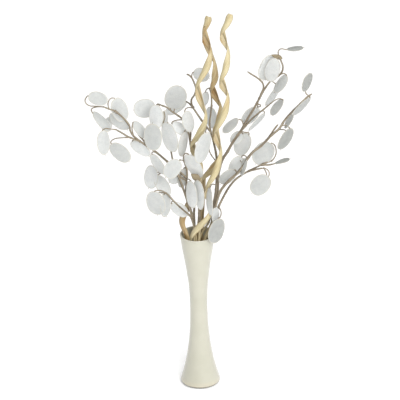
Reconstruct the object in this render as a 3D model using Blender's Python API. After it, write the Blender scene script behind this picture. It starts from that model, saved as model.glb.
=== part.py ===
"""Vase of dried honesty: an ivory glazed vase that holds nine sprays of honesty and three curled cane strips.

Metres, +Z up, seen from -Y. The origin is the centre of the vase's flat foot, on the surface it stands on.

The arrangement was first drawn as a front sketch, seen from a little above. A point of it is (across, down)
in sketch steps, and each stem point also has its own depth, positive away from the viewer: millimetres near
the middle, and more further out, so that the sprays fan out to the front and the back. place() turns such a
point into a place in the round, and every twig keeps its line on the sketch.
"""
import math
import random

import bmesh
import bpy
import numpy as np
from mathutils import Vector

MM = 0.001
CLEARANCE = 0.3 * MM

# The sketch: its scale, where the foot's centre lies on it, and how it was seen.
SKETCH_STEP = 2.0 * MM
SKETCH_FOOT = (200.5, 381.0)
SKETCH_TURN = math.radians(1.3)
SIGHT_ANGLE = math.radians(28.0)
# At this depth a sketch point lies twice as deep as its number says.
DEPTH_FAN = 70.0

# Vase
VASE_HEIGHT = 336 * MM
RIM_RADIUS = 34.8 * MM
WAIST_RADIUS = 17.5 * MM
FOOT_RADIUS = 39.5 * MM
FOOT_ROUNDING = 6 * MM
WAIST_HEIGHT = 178 * MM
WALL = 4 * MM
LIP = 3.4 * MM
FLOOR_THICKNESS = 9 * MM
FOOT_FLARE_POWER = 2.4
VASE_SIDES = 24
# The heights, in mm, at which the wall's two outlines have their points.
OUTLINE_HEIGHTS = [12, 28, 50, 80, 120, 178, 225, 260, 290, 318]
INNER_CORNER = 3 * MM
# Share of the way from waist to rim, in height and in the growth of the radius.
NECK_CURVE = [(0.0, 0.0), (0.23, 0.08), (0.41, 0.26), (0.58, 0.46), (0.75, 0.71), (0.9, 0.91), (1.0, 1.0)]

# Honesty
TWIG_ROOT_RADIUS = 1.25 * MM
TWIG_TIP_RADIUS = 1.0 * MM
STALK_RADIUS = 0.75 * MM
STALK_SUNK = 4 * MM
STALK_STEPS = 4
POD_THICKNESS = 0.8 * MM
POD_ARCH = 1.2 * MM
POD_SIDES = 10
POD_WIDTH_TO_LENGTH = 0.65
POD_FULLNESS = 0.86
# How much further back, at most, one end of a pod hangs than the other, in depth steps.
POD_LEAN = 5
HUSK_SIDES = 7

# Curled cane
CANE_WIDTH = 14 * MM
CANE_THICKNESS = 1.6 * MM
CANE_BOW = 1.6 * MM
CANE_CURL_RADIUS = 7 * MM
CANE_TILT = math.radians(28)
CANE_STEP = 12 * MM
CANE_WALL_GAP = 1.1 * MM
# Heights in the vase, each with how near the cane's axis there is to where it crosses the mouth.
CANE_RUN = [(FLOOR_THICKNESS + CLEARANCE, 0), (90 * MM, 0), (WAIST_HEIGHT, 0), (216 * MM, 0),
            (257 * MM, 0.15), (280 * MM, 0.3), (303 * MM, 0.52), (VASE_HEIGHT, 1)]

POD_SILVER = (0.78, 0.80, 0.79, 1.0)
IVORY = (0.72, 0.70, 0.58, 1.0)
BLOND = (0.76, 0.62, 0.36, 1.0)


def place(across, down, depth=0.0):
    """The sketch's point at this depth, in the round: depth d lies d (1 + |d| / DEPTH_FAN) mm back."""
    du, dv = across - SKETCH_FOOT[0], SKETCH_FOOT[1] - down
    x = SKETCH_STEP * (du * math.cos(SKETCH_TURN) + dv * math.sin(SKETCH_TURN))
    up = SKETCH_STEP * (dv * math.cos(SKETCH_TURN) - du * math.sin(SKETCH_TURN))
    y = depth * (1 + abs(depth) / DEPTH_FAN) * MM
    return Vector((x, y, (up - y * math.sin(SIGHT_ANGLE)) / math.cos(SIGHT_ANGLE)))


def through(knots, at):
    """A smooth curve through knots (rows of numbers, the first rising), read at the given first numbers."""
    knots = np.array(knots, float)
    t, values = knots[:, 0], knots[:, 1:]
    slopes = np.gradient(values, t, axis=0)
    i = np.clip(np.searchsorted(t, at, side="right") - 1, 0, len(t) - 2)
    span = (t[i + 1] - t[i])[:, None]
    s = ((at - t[i]) / span[:, 0])[:, None]
    return (
        values[i] * (1 + 2 * s) * (1 - s) ** 2
        + values[i + 1] * s**2 * (3 - 2 * s)
        + slopes[i] * span * s * (1 - s) ** 2
        - slopes[i + 1] * span * s**2 * (1 - s)
    )


def material(name, colour, roughness):
    made = bpy.data.materials.new(name)
    made.use_nodes = True
    shader = made.node_tree.nodes["Principled BSDF"]
    shader.inputs["Base Color"].default_value = colour
    shader.inputs["Roughness"].default_value = roughness
    return made


def new_object(name, mesh, finish):
    made = bpy.data.objects.new(name, mesh)
    bpy.context.scene.collection.objects.link(made)
    mesh.materials.clear()
    mesh.materials.append(finish)
    return made


def outer_radius(height):
    """The vase's outer radius: a power curve from waist to foot, a drawn curve from waist to rim."""
    if height < WAIST_HEIGHT:
        share = (WAIST_HEIGHT - height) / (WAIST_HEIGHT - FOOT_ROUNDING)
        return WAIST_RADIUS + (FOOT_RADIUS - WAIST_RADIUS) * share**FOOT_FLARE_POWER
    share = (height - WAIST_HEIGHT) / (VASE_HEIGHT - WAIST_HEIGHT)
    growth = through(NECK_CURVE, np.array([share]))[0, 0]
    return WAIST_RADIUS + (RIM_RADIUS - WAIST_RADIUS) * growth


def vase_profile():
    """Half of the vase's section: from the floor's middle up the inside, over the lip and down the outside."""
    inside = [Vector((outer_radius(h * MM) - WALL, 0, h * MM)) for h in OUTLINE_HEIGHTS]
    inside.insert(0, Vector((inside[0].x - INNER_CORNER, 0, FLOOR_THICKNESS)))
    middle = Vector((RIM_RADIUS - LIP / 2, 0, VASE_HEIGHT - LIP / 2))
    lip = [
        middle + LIP / 2 * Vector((math.cos(a), 0, math.sin(a)))
        for a in (math.pi, 0.75 * math.pi, 0.5 * math.pi, 0.25 * math.pi, 0)
    ]
    outside = [Vector((outer_radius(h * MM), 0, h * MM)) for h in reversed(OUTLINE_HEIGHTS[1:])]
    turn = Vector((FOOT_RADIUS - FOOT_ROUNDING, 0, FOOT_ROUNDING))
    foot = [
        turn + FOOT_ROUNDING * Vector((math.cos(a), 0, math.sin(a)))
        for a in (0, -math.pi / 6, -math.pi / 3, -math.pi / 2)
    ]
    return [Vector((0, 0, FLOOR_THICKNESS)), *inside, *lip, *outside, *foot, Vector((0, 0, 0))]


def make_vase(finish):
    points = vase_profile()
    mesh = bpy.data.meshes.new("vase")
    mesh.from_pydata(points, [(i, i + 1) for i in range(len(points) - 1)], [])
    vase = new_object("vase", mesh, finish)
    screw = vase.modifiers.new("turned", "SCREW")
    screw.steps = screw.render_steps = VASE_SIDES
    screw.use_merge_vertices = True
    screw.merge_threshold = 0.0001
    return vase


def twig_mesh(points, radii, resolution):
    """A round tube along the points, with closed ends."""
    curve = bpy.data.curves.new("twig", "CURVE")
    curve.dimensions = "3D"
    curve.bevel_depth = 1.0
    curve.bevel_resolution = resolution
    curve.use_fill_caps = True
    spline = curve.splines.new("POLY")
    spline.points.add(len(points) - 1)
    for knot, point, radius in zip(spline.points, points, radii):
        knot.co = (*point, 1)
        knot.radius = radius
    guide = bpy.data.objects.new("twig", curve)
    mesh = bpy.data.meshes.new_from_object(guide)
    bpy.data.objects.remove(guide)
    bpy.data.curves.remove(curve)
    return clean(mesh)


def clean(mesh):
    """The mesh with its doubled points made one and its faces pointing out."""
    work = bmesh.new()
    work.from_mesh(mesh)
    bmesh.ops.remove_doubles(work, verts=work.verts, dist=0.01 * MM)
    bmesh.ops.recalc_face_normals(work, faces=work.faces)
    work.to_mesh(mesh)
    work.free()
    return mesh


def pod_mesh(root, tip, seen_width):
    """One flat, slightly domed oval pod from its root to its tip.

    Seen from the front it is seen_width wide, because it is turned about its own length by the angle that
    narrows it so much; a minus sign turns it the other way.
    """
    length = (tip - root).length
    width = max(POD_WIDTH_TO_LENGTH * length, abs(seen_width))
    along = (tip - root) / length
    sight = Vector((0, -math.cos(SIGHT_ANGLE), math.sin(SIGHT_ANGLE)))
    facing = (sight - sight.dot(along) * along).normalized()
    angle = math.copysign(math.acos(abs(seen_width) / width), seen_width)
    side = along.cross(facing)
    normal = facing * math.cos(angle) + side * math.sin(angle)
    side = along.cross(normal)
    work = bmesh.new()
    rim = []
    for i in range(POD_SIDES):
        a = 2 * math.pi * i / POD_SIDES
        bulge = math.copysign(abs(math.sin(a)) ** POD_FULLNESS, math.sin(a))
        edge = side * width / 2 * bulge - along * length / 2 * math.cos(a)
        rim.append(work.verts.new((root + tip) / 2 + edge))
    middle = work.verts.new((root + tip) / 2 + normal * POD_ARCH)
    faces = [work.faces.new((rim[i - 1], rim[i], middle)) for i in range(POD_SIDES)]
    raised = bmesh.ops.extrude_face_region(work, geom=faces)
    for corner in raised["geom"]:
        if isinstance(corner, bmesh.types.BMVert):
            corner.co += normal * POD_THICKNESS
    for corner in work.verts:
        corner.co -= normal * POD_THICKNESS / 2
    mesh = bpy.data.meshes.new("pod")
    work.to_mesh(mesh)
    work.free()
    return clean(mesh)


def husk_mesh(centre, long_way, length, width, thickness):
    """A small withered husk: a flattened round-ended lump."""
    work = bmesh.new()
    bmesh.ops.create_uvsphere(work, u_segments=HUSK_SIDES, v_segments=HUSK_SIDES - 2, radius=0.5)
    turn = long_way.to_track_quat("Z", "Y")
    for corner in work.verts:
        x, y, z = corner.co
        corner.co = centre + turn @ Vector((x * width, y * thickness, z * length))
    mesh = bpy.data.meshes.new("husk")
    work.to_mesh(mesh)
    work.free()
    return clean(mesh)


def nearest_on(twigs, across, down):
    """The point of these twigs nearest to a sketch point, as a sketch point with its depth."""
    best = None
    for twig in twigs:
        for a, b in zip(twig, twig[1:]):
            run = np.subtract(b, a)
            share = np.dot(np.subtract((across, down), a[:2]), run[:2]) / np.dot(run[:2], run[:2])
            spot = np.add(a, min(1, max(0, share)) * run)
            gap = math.hypot(spot[0] - across, spot[1] - down)
            if best is None or gap < best[0]:
                best = (gap, spot)
    return best[1]


def stalk_and_pod(twigs, pod, lean):
    """The meshes of one pod and the thin stalk that carries it.

    pod is its stalk's sketch points from twig to pod, its tip's sketch point, the width that shows (in sketch
    steps) and how far behind the twig it hangs (in mm).
    """
    stalk, tip, seen_width, behind = pod
    start = nearest_on(twigs, *stalk[0])
    depth = start[2] + behind
    root = place(*stalk[-1], depth - lean / 2)
    end = place(*tip, depth + lean / 2)
    knots = [(0, *start)]
    for i, (across, down) in enumerate(stalk[1:], 1):
        share = i / (len(stalk) - 1)
        knots.append((i, across, down, start[2] + (depth - lean / 2 - start[2]) * share))
    if len(knots) == 2:
        knots.insert(1, tuple((p + q) / 2 for p, q in zip(*knots)))
    steps = np.linspace(0, knots[-1][0], max(STALK_STEPS, len(knots)))
    points = [place(*spot) for spot in through(knots, steps)]
    points.append(root + (end - root).normalized() * STALK_SUNK)
    return [
        twig_mesh(points, [STALK_RADIUS] * len(points), 0),
        pod_mesh(root, end, seen_width * SKETCH_STEP),
    ]


def inside_vase(waist, mouth):
    """A stem's straight run in the vase, from just above the floor through the waist to the mouth."""
    foot = Vector((*waist, 0)) * MM
    return [
        foot + Vector((0, 0, FLOOR_THICKNESS + CLEARANCE)),
        foot + Vector((0, 0, WAIST_HEIGHT)),
        Vector((*mouth, 0)) * MM + Vector((0, 0, VASE_HEIGHT)),
    ]


def make_spray(name, finish, waist, mouth, thickness, stem, twigs, pods, husks=()):
    """One spray, fused into one piece: its stem from the vase's floor up, twigs, stalks, pods and husks."""
    rng = random.Random(name)
    base = thickness / 2 * MM
    points = inside_vase(waist, mouth) + [place(*spot) for spot in stem]
    radii = [base] * 3 + [base + (TWIG_TIP_RADIUS - base) * i / (len(stem) - 1) for i in range(len(stem))]
    meshes = [twig_mesh(points, radii, 1)]
    for twig in twigs:
        radii = list(np.linspace(TWIG_ROOT_RADIUS, TWIG_TIP_RADIUS, len(twig)))
        meshes.append(twig_mesh([place(*spot) for spot in twig], radii, 1))
    for pod in pods:
        meshes += stalk_and_pod([stem, *twigs], pod, rng.uniform(-1, 1) * POD_LEAN)
    for centre, end, width, thickness_share in husks:
        a = place(*centre, nearest_on([stem, *twigs], *centre)[2])
        b = place(*end, nearest_on([stem, *twigs], *centre)[2])
        size = width * SKETCH_STEP
        meshes.append(husk_mesh((a + b) / 2, b - a, (b - a).length, size, size * thickness_share))
    return join(name, meshes, finish)


def join(name, meshes, finish):
    """One object made of all these closed meshes by one Boolean union."""
    whole = new_object(name, meshes[0], finish)
    others = bpy.data.collections.new(name + "_parts")
    bpy.context.scene.collection.children.link(others)
    for mesh in meshes[1:]:
        others.objects.link(bpy.data.objects.new(name + "_part", mesh))
    union = whole.modifiers.new("union", "BOOLEAN")
    union.operation = "UNION"
    union.operand_type = "COLLECTION"
    union.collection = others
    union.solver = "MANIFOLD"
    graph = bpy.context.evaluated_depsgraph_get()
    fused = bpy.data.meshes.new_from_object(whole.evaluated_get(graph))
    whole.modifiers.clear()
    whole.data = fused
    for part in list(others.objects):
        bpy.data.objects.remove(part)
    bpy.data.collections.remove(others)
    return whole


FAR_LEFT_STEM = [
    (193.5, 222, -5), (191.7, 214.5, -7), (188.7, 204.5, -9), (185, 193, -11), (181, 182, -14), (177, 172, -18),
    (171, 164.5, -22), (164, 158, -27), (155.5, 151, -33), (148, 146, -37), (140.5, 141, -41), (134, 138.5, -44),
    (129.5, 136.8, -46), (123, 133, -48), (117, 129.5, -50),
]
FAR_LEFT_TWIGS = [
    [(140.5, 141, -41), (138, 139, -42), (133.5, 135, -43), (130.7, 130, -43), (130.3, 126.5, -43),
     (127, 121.5, -44), (122, 116, -45), (116, 111, -46), (110, 109.2, -47), (105, 107, -48)],
    [(148, 146, -37), (143.5, 139.5, -35), (138, 133.5, -33)],
]
FAR_LEFT_PODS = [
    ([(105, 107), (97, 106.3), (90.5, 105.8), (86.8, 103), (86.5, 99), (89.5, 96)], (108.5, 101.5), 13.5, -4),
    ([(105, 107), (99, 106.8), (94, 107.8), (92.2, 110), (93.5, 113)], (111, 129.5), -9.5, 6),
    ([(116, 111), (112, 114), (110, 117)], (108.5, 130), 8, 12),
    ([(110, 109), (108.8, 104), (110.5, 99.5), (113, 98), (115.5, 98.5)], (125, 120.8), -16.5, 6),
    ([(122, 116), (117, 113), (112.5, 113)], (127.8, 129.5), 13, 5),
    ([(117, 129.5), (111, 128.8), (106, 128.4), (102.8, 130.2)], (105.8, 154), -13, -3),
    ([(130, 137), (122, 137.4), (115.5, 138.3), (111.5, 141), (111.8, 143.2)], (129.4, 160.7), 15, 4),
    ([(134, 135.5), (132.5, 128), (133.5, 121.5)], (146, 136.5), -9.5, 12),
    ([(138, 139.5), (134.5, 139.2), (132.5, 140.5)], (149, 155.5), 11, 10),
    ([(157, 152.3), (155, 151.5), (153.5, 150)], (152.8, 123.3), -18, -12),
    ([(156.5, 151.8), (153.5, 151.3), (152, 152), (152.3, 153.5)], (164.5, 174), 9.5, -4),
    # On the far side
    ([(116, 111), (118, 108), (120, 106)], (123.5, 118), 6, 24),
    ([(150, 147.2), (151, 142), (152, 140)], (153, 126.5), 7, 20),
]

SIDE_LEFT_STEM = [
    (194.5, 222, 1), (192, 213, -2), (189, 203, -5), (186, 191, -7), (186.5, 180, -7), (186.7, 168, -7),
    (184.6, 162, -8), (183.5, 158, -9),
]
SIDE_LEFT_TWIGS = [
    [(186.5, 180, -7), (180, 176, -8), (170, 173.5, -13), (160.5, 172.5, -20)],
    [(186.6, 177, -7), (181, 172, -9), (175.5, 166.5, -10), (173, 160, -10), (171, 150, -8), (168.8, 141, -6),
     (165.8, 130, -4), (163, 123, -2)],
]
SIDE_LEFT_PODS = [
    ([(183.5, 158), (183.8, 154.5), (186, 152.5), (188.5, 153.5)], (199, 177), 14, -8),
    ([(184.6, 162), (182.5, 159.5), (179.5, 159.8)], (166, 176.5), -16, -46),
    ([(180, 176), (181, 173), (180.5, 171.5)], (169.5, 181.5), 12, 8),
    ([(186.7, 168), (185, 166.5), (183.8, 167.5)], (182, 186.5), -10, 8),
    ([(165.8, 130), (165.3, 125), (168.3, 122)], (171.3, 151), 15.5, -14),
    ([(163, 123), (165, 117), (164, 110.5)], (164.8, 127.5), -7, 13),
    ([(160.5, 172.5), (158.5, 168), (153.5, 165.3)], (148.8, 187), 14.5, 4),
    ([(160.5, 172.5), (158, 174), (155.5, 176)], (170, 194), -13, 4),
    ([(187, 178), (189, 178.5), (191, 180)], (192, 207), 11, -22),
    # On the far side
    ([(168.8, 141), (169, 137), (169, 134)], (170, 148.5), 6, 20),
    ([(160.5, 172.5), (157, 171), (154.5, 170)], (151.5, 184.5), 6, 24),
]

UPPER_LEFT_STEM = [
    (194.5, 222, 17), (194, 212, 21), (195, 200, 25), (197, 185, 27), (197, 172, 27), (195, 159, 26),
    (192, 152, 25), (190, 140, 22), (188.2, 130.5, 19), (185.5, 124, 18), (183, 119, 17), (178, 115, 17),
    (172, 111, 17), (167, 107, 16), (160, 104.3, 15),
]
UPPER_LEFT_TWIGS = [
    [(190, 139, 22), (190.8, 133, 24), (190.5, 129, 26)],
]
UPPER_LEFT_PODS = [
    ([(160, 104.3), (158.3, 104.2), (157, 104.5)], (155.5, 128), 14.5, -16),
    ([(163, 105.3), (158, 103.3), (155.5, 106)], (133.8, 109.3), -19, 20),
    ([(172, 111), (170.5, 110), (170.5, 108)], (181, 86), 21.5, 8),
    ([(183, 119), (177, 119.5), (172.5, 121), (171.8, 123)], (188, 132.5), -11, 10),
    ([(188, 130.3), (186.5, 128.5), (184, 131)], (182.3, 155), -9, -4),
    # On the far side
    ([(174, 112.2), (174.5, 108), (175, 105)], (178.5, 90), 8, 13),
    ([(160, 104.3), (158.5, 106), (158, 108)], (157.3, 124.5), -5, 24),
]

LOW_LEFT_STEM = [
    (193, 222, -14), (190, 215, -17), (186, 211.5, -21), (178, 204.5, -30), (170, 196, -40), (167, 192.5, -44),
]
LOW_LEFT_PODS = [
    ([(167, 192.5), (162, 190), (157.5, 189.6), (154.5, 190.5)], (157.5, 214), 18.5, -2),
    ([(168, 193.7), (165, 192.3), (164, 193.5)], (166.5, 215.5), -11, 1),
    ([(174.5, 200.5), (172, 200.6), (171.5, 203)], (187.5, 214.5), 12.5, 26),
    # On the far side
    ([(167, 192.5), (160, 191.5), (156, 193.5)], (157, 211.5), 6, 22),
]

CENTRE_STEM = [
    (208.3, 222, 4), (211.7, 210, 4), (214.5, 198, 7), (216.2, 186, 9), (216.6, 170, 12), (216.3, 155, 16),
    (215, 147.5, 19), (213, 139, 22), (211, 132, 25), (207, 126.5, 27), (202, 120, 29), (197, 113, 31),
    (193, 107, 33), (189.5, 103, 34), (186.3, 100.7, 35),
]
CENTRE_TWIGS = [
    [(211.6, 134, 24), (209.5, 124, 30), (210.5, 114, 34), (211.5, 104, 36), (211, 93, 36), (209.5, 87.5, 36)],
    [(193, 107, 33), (191.4, 102.5, 33), (191.6, 98.5, 34), (194, 95, 35), (196, 89, 36), (194, 82, 37),
     (191.5, 77, 38), (189.3, 74.8, 38), (186.5, 73.6, 39)],
]
CENTRE_PODS = [
    ([(188, 101.7), (186.5, 100.7)], (166, 112), 11.5, 5),
    ([(193, 107.3), (188.5, 107), (185.5, 108.5), (184.5, 111.5)], (192, 130), -12.5, -15),
    ([(191.7, 77), (192, 73.5), (193.5, 71)], (209, 77.5), 13.5, 6),
    ([(209.5, 87.5), (207, 88.3), (205.2, 91)], (205.5, 104.3), -7.5, 6),
    ([(211.5, 104), (212.2, 105), (211.8, 106.5)], (210.5, 127), 11.5, 6),
    ([(216, 161), (210, 152), (208.5, 142), (205.3, 132)], (200.5, 162), -14.5, -46),
    ([(216, 184), (212, 183.5), (209.8, 187)], (209.8, 214.5), 6.5, -42),
    # On the far side
    ([(207, 126.5), (205.5, 131), (205, 137)], (202.5, 156), 5, 30),
]

LOW_CENTRE_STEM = [
    (199.8, 226, -10), (199.3, 215, -12), (199, 205, -14), (199, 192, -18), (197.7, 178.2, -22),
]
LOW_CENTRE_PODS = [
    ([(198.8, 184), (200, 181.2), (199, 180)], (199, 208), 10.5, -12),
]
LOW_CENTRE_HUSKS = [((200.1, 179.5), (190.7, 173), 7, 0.6)]

RIGHT_UPPER_STEM = [
    (211.8, 222, 8), (214, 210, 13), (216, 200, 15), (217.4, 190, 17), (217.7, 180, 18), (218.8, 170, 19),
    (220.6, 163, 20), (223.5, 156.5, 20), (227, 151.5, 21), (230, 146, 22), (235, 138, 24), (240.5, 130.5, 26),
    (244, 124.5, 27), (249, 115.5, 29), (254, 107.5, 31), (258, 100, 33), (262, 92.5, 35), (266, 86, 36),
    (270, 80.5, 37), (272.8, 75.5, 38),
]
RIGHT_UPPER_TWIGS = [
    [(240.5, 130.5, 26), (245, 125.8, 24), (250, 120, 22), (256, 114.5, 20), (260, 111.3, 19), (264, 108.3, 18),
     (270, 103.3, 17)],
    [(270, 80.5, 37), (274.5, 78, 36), (279.5, 74.3, 35), (282.3, 70, 34), (282.5, 65.5, 34), (281, 61.5, 34),
     (279.3, 57.8, 34)],
    [(259, 98, 33), (261.3, 92.5, 30), (263.2, 87.5, 28), (262.5, 83, 26), (259.5, 79.5, 25), (254.5, 76, 24),
     (250, 73.3, 23), (247.3, 71.5, 22)],
]
RIGHT_UPPER_PODS = [
    ([(279.3, 57.8), (278.3, 58), (277.2, 59.2)], (267.3, 80), 15.5, -6),
    ([(278.8, 57), (277.8, 53), (278.5, 50), (281, 48.6), (286.5, 49.6)], (302.8, 47.3), -5, 4),
    ([(279.5, 74.3), (283.7, 73), (287, 75.2)], (274.2, 91.7), 9.5, -4),
    ([(270.5, 80), (275, 83), (277.5, 87)], (266.3, 105.5), -6.5, 8),
    ([(270, 103.3), (275, 99.5), (279.5, 98.2), (283.2, 99.6)], (270.3, 113.3), 8.5, 3),
    ([(256, 104), (259.5, 103.8), (260.5, 105.5), (257.5, 106.5)], (243.5, 123), -13, 9),
    ([(243.5, 125.3), (242.3, 121), (240.5, 119), (238.3, 118.8)], (222.8, 131), 9, -4),
    ([(261, 110.6), (263.5, 110.3), (264.3, 112.8)], (248.8, 130), -4.5, -6),
    ([(241, 131), (245, 131.5), (248.5, 131.8), (249, 134)], (236.3, 153), 16.5, 7),
    ([(240.5, 130.5), (242, 130.6), (242, 131.5)], (231.5, 142.5), -11.5, 9),
    ([(279.3, 57.8), (275.5, 55.2), (272.6, 54.8)], (263, 79.8), -17.5, 8),
    # On the far side
    ([(240.5, 130.5), (244, 134), (247, 138)], (239.5, 150.5), -6, 26),
    ([(258, 100), (257.5, 106), (256, 110)], (246, 123), -5, 26),
]
RIGHT_UPPER_HUSKS = [((282.3, 58.5), (270.5, 54.5), 5, 0.7)]

RIGHT_MAIN_STEM = [
    (213.5, 222, -13), (214.5, 210, -15), (216.8, 200, -18), (220, 191, -21), (225, 184, -24), (230, 179, -27),
    (236, 173.5, -30), (243, 165.5, -33), (248, 157, -36), (253, 151, -38), (260, 146, -40), (266, 140, -42),
    (272, 134, -44), (278, 129, -45), (284, 120, -47), (290, 113, -48), (297, 106, -49), (303, 100, -50),
    (308, 95.8, -50), (311, 94, -50),
]
RIGHT_MAIN_TWIGS = [
    [(266, 140, -42), (270, 134.5, -40), (274, 128.5, -38), (277.5, 124, -37)],
]
RIGHT_MAIN_PODS = [
    ([(247, 158.5), (245.5, 155.5), (243, 154.8), (241.5, 156)], (231.5, 174), 14.5, 22),
    ([(236, 173.5), (236, 170), (234, 168.8)], (221, 183), -12.5, 10),
    ([(250, 155), (248.5, 156.5), (246.3, 158.5)], (240.3, 174.5), 6, 2),
    ([(280, 126.5), (282.5, 125), (286, 125.2), (289.3, 128)], (280.5, 149), -11, 4),
    ([(307.5, 96), (305.3, 94.3), (304.2, 91.6)], (307.6, 74), 9, -4),
    ([(307, 97), (308.9, 96.5), (308.3, 97.5)], (293, 115.3), -6, 4),
    ([(294, 109.5), (294.3, 112.3), (292.8, 114.5)], (283.8, 127), 5.5, 6),
    ([(215.5, 205), (214.8, 205.3), (215, 206.5)], (216.1, 225), -7.5, -6),
    # On the far side
    ([(243, 165.5), (241, 161), (239, 159)], (232.5, 171), 6, 26),
    ([(278, 129), (284, 129.5), (287.5, 131.5)], (281.5, 146.5), -5, 22),
]

RIGHT_LOW_STEM = [
    (213.8, 222, -4), (216, 212, -5), (219, 205, -6), (224, 195, -9), (230, 185, -12), (236, 178.3, -15),
    (242, 174, -17), (248.5, 170.3, -19), (253, 168, -21), (258, 165.6, -23), (262.5, 163.3, -24),
]
RIGHT_LOW_TWIGS = [
    [(262.5, 163.3, -24), (266, 161.8, -24), (271, 160.5, -23)],
    [(261, 164, -24), (268, 164.3, -27), (273.5, 163.2, -30)],
    [(248.5, 170.3, -19), (254, 169, -23), (259, 168, -26), (263.5, 167.3, -28)],
]
RIGHT_LOW_PODS = [
    ([(271, 160.5), (273.8, 157.5), (275.8, 152.5), (275.3, 147), (273.5, 143.5), (270.5, 142.5)],
     (255.5, 163), 20, 2),
    ([(273.5, 163.2), (274.3, 162.9)], (289.3, 158.2), -4.2, 0),
    ([(263.5, 167.3), (267, 168.8), (269, 172), (268.3, 175.8)], (252, 192.3), 18.5, -4),
    ([(218.5, 206), (221, 210.5), (220.5, 215.5), (218.3, 217.8)], (214.6, 242.3), -15.5, -20),
    # On the far side
    ([(266, 161.8), (267, 155), (266, 148)], (256.5, 159.5), 7, 22),
    ([(263.5, 167.3), (266, 172), (267, 178)], (255, 191.5), 6, 20),
]

# Each cane's sketch rows: axis across, down, depth in mm, and half turns from its right side, rising downwards.
RIGHT_CANE = [
    (228, 14.5, -14, 0.2), (225.2, 33, -14, 1), (224.7, 56, -14, 2), (224.4, 80, -14, 3), (224.3, 101, -14, 4),
    (219.3, 130.5, -14, 5), (217, 156.5, -15, 6), (210.8, 186, -20, 7), (207.2, 212, -24, 8),
]
MIDDLE_CANE = [
    (206.8, 16, 16, 0.3), (207.3, 33, 16, 1), (212, 68, 16, 2), (215.3, 88, 16, 3), (217.5, 111, 16, 4),
    (217.3, 131, 2, 5), (217, 155, 0, 6), (206.5, 178, 20, 7), (201.5, 214, 16, 7.5),
]
LEFT_CANE = [
    (207.5, 27, -12, 0.8), (207.5, 35, -12, 1), (207.3, 56, -12, 2), (200.5, 86, -12, 3), (202.2, 120, -10, 4),
    (195.5, 143.5, -4, 5), (198, 169, 4, 6), (191, 195, 13.5, 6.4), (183, 219.5, -1, 6.64),
]


def cane_knots(sketch, mouth_axis, mouth_turns, waist_turns):
    """Rows of height, axis x, axis y, curl radius, half turns and tilt for one cane, from its foot up.

    In the vase the cane stops turning and lies along the wall, at the bearing that waist_turns gives.
    """
    rows = []
    for height, nearness in CANE_RUN:
        wall = outer_radius(max(height, WAIST_HEIGHT)) - WALL - CANE_THICKNESS / 2 - CANE_WALL_GAP
        along_wall = math.sqrt(wall**2 - (CANE_WIDTH / 2) ** 2) + CANE_BOW / 2
        axis = Vector(mouth_axis) * MM
        reach = min(along_wall, axis.length + CANE_CURL_RADIUS)
        axis *= nearness
        turns = waist_turns + (mouth_turns - waist_turns) * nearness
        rows.append((height, axis.x, axis.y, reach - axis.length, turns, 0))
    for across, down, depth, turns in reversed(sketch):
        spot = place(across, down, depth)
        rows.append((spot.z, spot.x, spot.y, CANE_CURL_RADIUS, turns, CANE_TILT))
    return rows


def make_cane(name, finish, knots):
    """A flat, slightly bowed strip wound round a wandering axis, given its thickness by Solidify."""
    bottom, top = knots[0][0], knots[-1][0]
    heights = np.linspace(bottom, top, 1 + round((top - bottom) / CANE_STEP))
    axis_x, axis_y, curl, turns, tilt = through(knots, heights).T
    bearing = -math.pi * turns
    outward = np.stack([np.cos(bearing), np.sin(bearing), 0 * bearing], axis=1)
    around = np.stack([-np.sin(bearing), np.cos(bearing), 0 * bearing], axis=1)
    middle = np.stack([axis_x, axis_y, heights], axis=1) + curl[:, None] * outward
    along = np.gradient(middle, axis=0)
    along /= np.linalg.norm(along, axis=1, keepdims=True)
    across = np.cos(tilt)[:, None] * around + np.sin(tilt)[:, None] * outward
    across -= (across * along).sum(axis=1, keepdims=True) * along
    across /= np.linalg.norm(across, axis=1, keepdims=True)
    normal = np.cross(across, along)
    half = CANE_WIDTH / 2 * across
    bow = CANE_BOW * normal
    columns = [middle - half - bow / 2, middle + bow / 2, middle + half - bow / 2]
    work = bmesh.new()
    grid = [[work.verts.new(point) for point in column] for column in columns]
    for left, right in zip(grid, grid[1:]):
        for i in range(len(heights) - 1):
            work.faces.new((left[i], right[i], right[i + 1], left[i + 1]))
    bmesh.ops.triangulate(work, faces=work.faces)
    mesh = bpy.data.meshes.new(name)
    work.to_mesh(mesh)
    work.free()
    cane = new_object(name, mesh, finish)
    wall = cane.modifiers.new("thickness", "SOLIDIFY")
    wall.thickness = CANE_THICKNESS
    wall.offset = 0
    return cane


for old in list(bpy.data.objects):
    bpy.data.objects.remove(old)

glaze = material("ivory_glaze", IVORY, 0.25)
silver = material("dried_honesty", POD_SILVER, 0.5)
cane = material("blond_cane", BLOND, 0.6)

make_vase(glaze)
make_spray("honesty_far_left", silver, (-6.5, -1.5), (-3, -4), 3.8,
           FAR_LEFT_STEM, FAR_LEFT_TWIGS, FAR_LEFT_PODS)
make_spray("honesty_side_left", silver, (-6, 3.5), (-4.5, 3), 3.4,
           SIDE_LEFT_STEM, SIDE_LEFT_TWIGS, SIDE_LEFT_PODS)
make_spray("honesty_upper_left", silver, (-2.5, 7.4), (-5, 13), 3.6,
           UPPER_LEFT_STEM, UPPER_LEFT_TWIGS, UPPER_LEFT_PODS)
make_spray("honesty_low_left", silver, (-4.6, -6), (-6.5, -12), 3.2, LOW_LEFT_STEM, [], LOW_LEFT_PODS)
make_spray("honesty_centre", silver, (1, 3), (11, 7), 3.8, CENTRE_STEM, CENTRE_TWIGS, CENTRE_PODS)
make_spray("honesty_low_centre", silver, (0.8, -6.7), (4, -11), 4.6, LOW_CENTRE_STEM, [], LOW_CENTRE_PODS,
           LOW_CENTRE_HUSKS)
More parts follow.
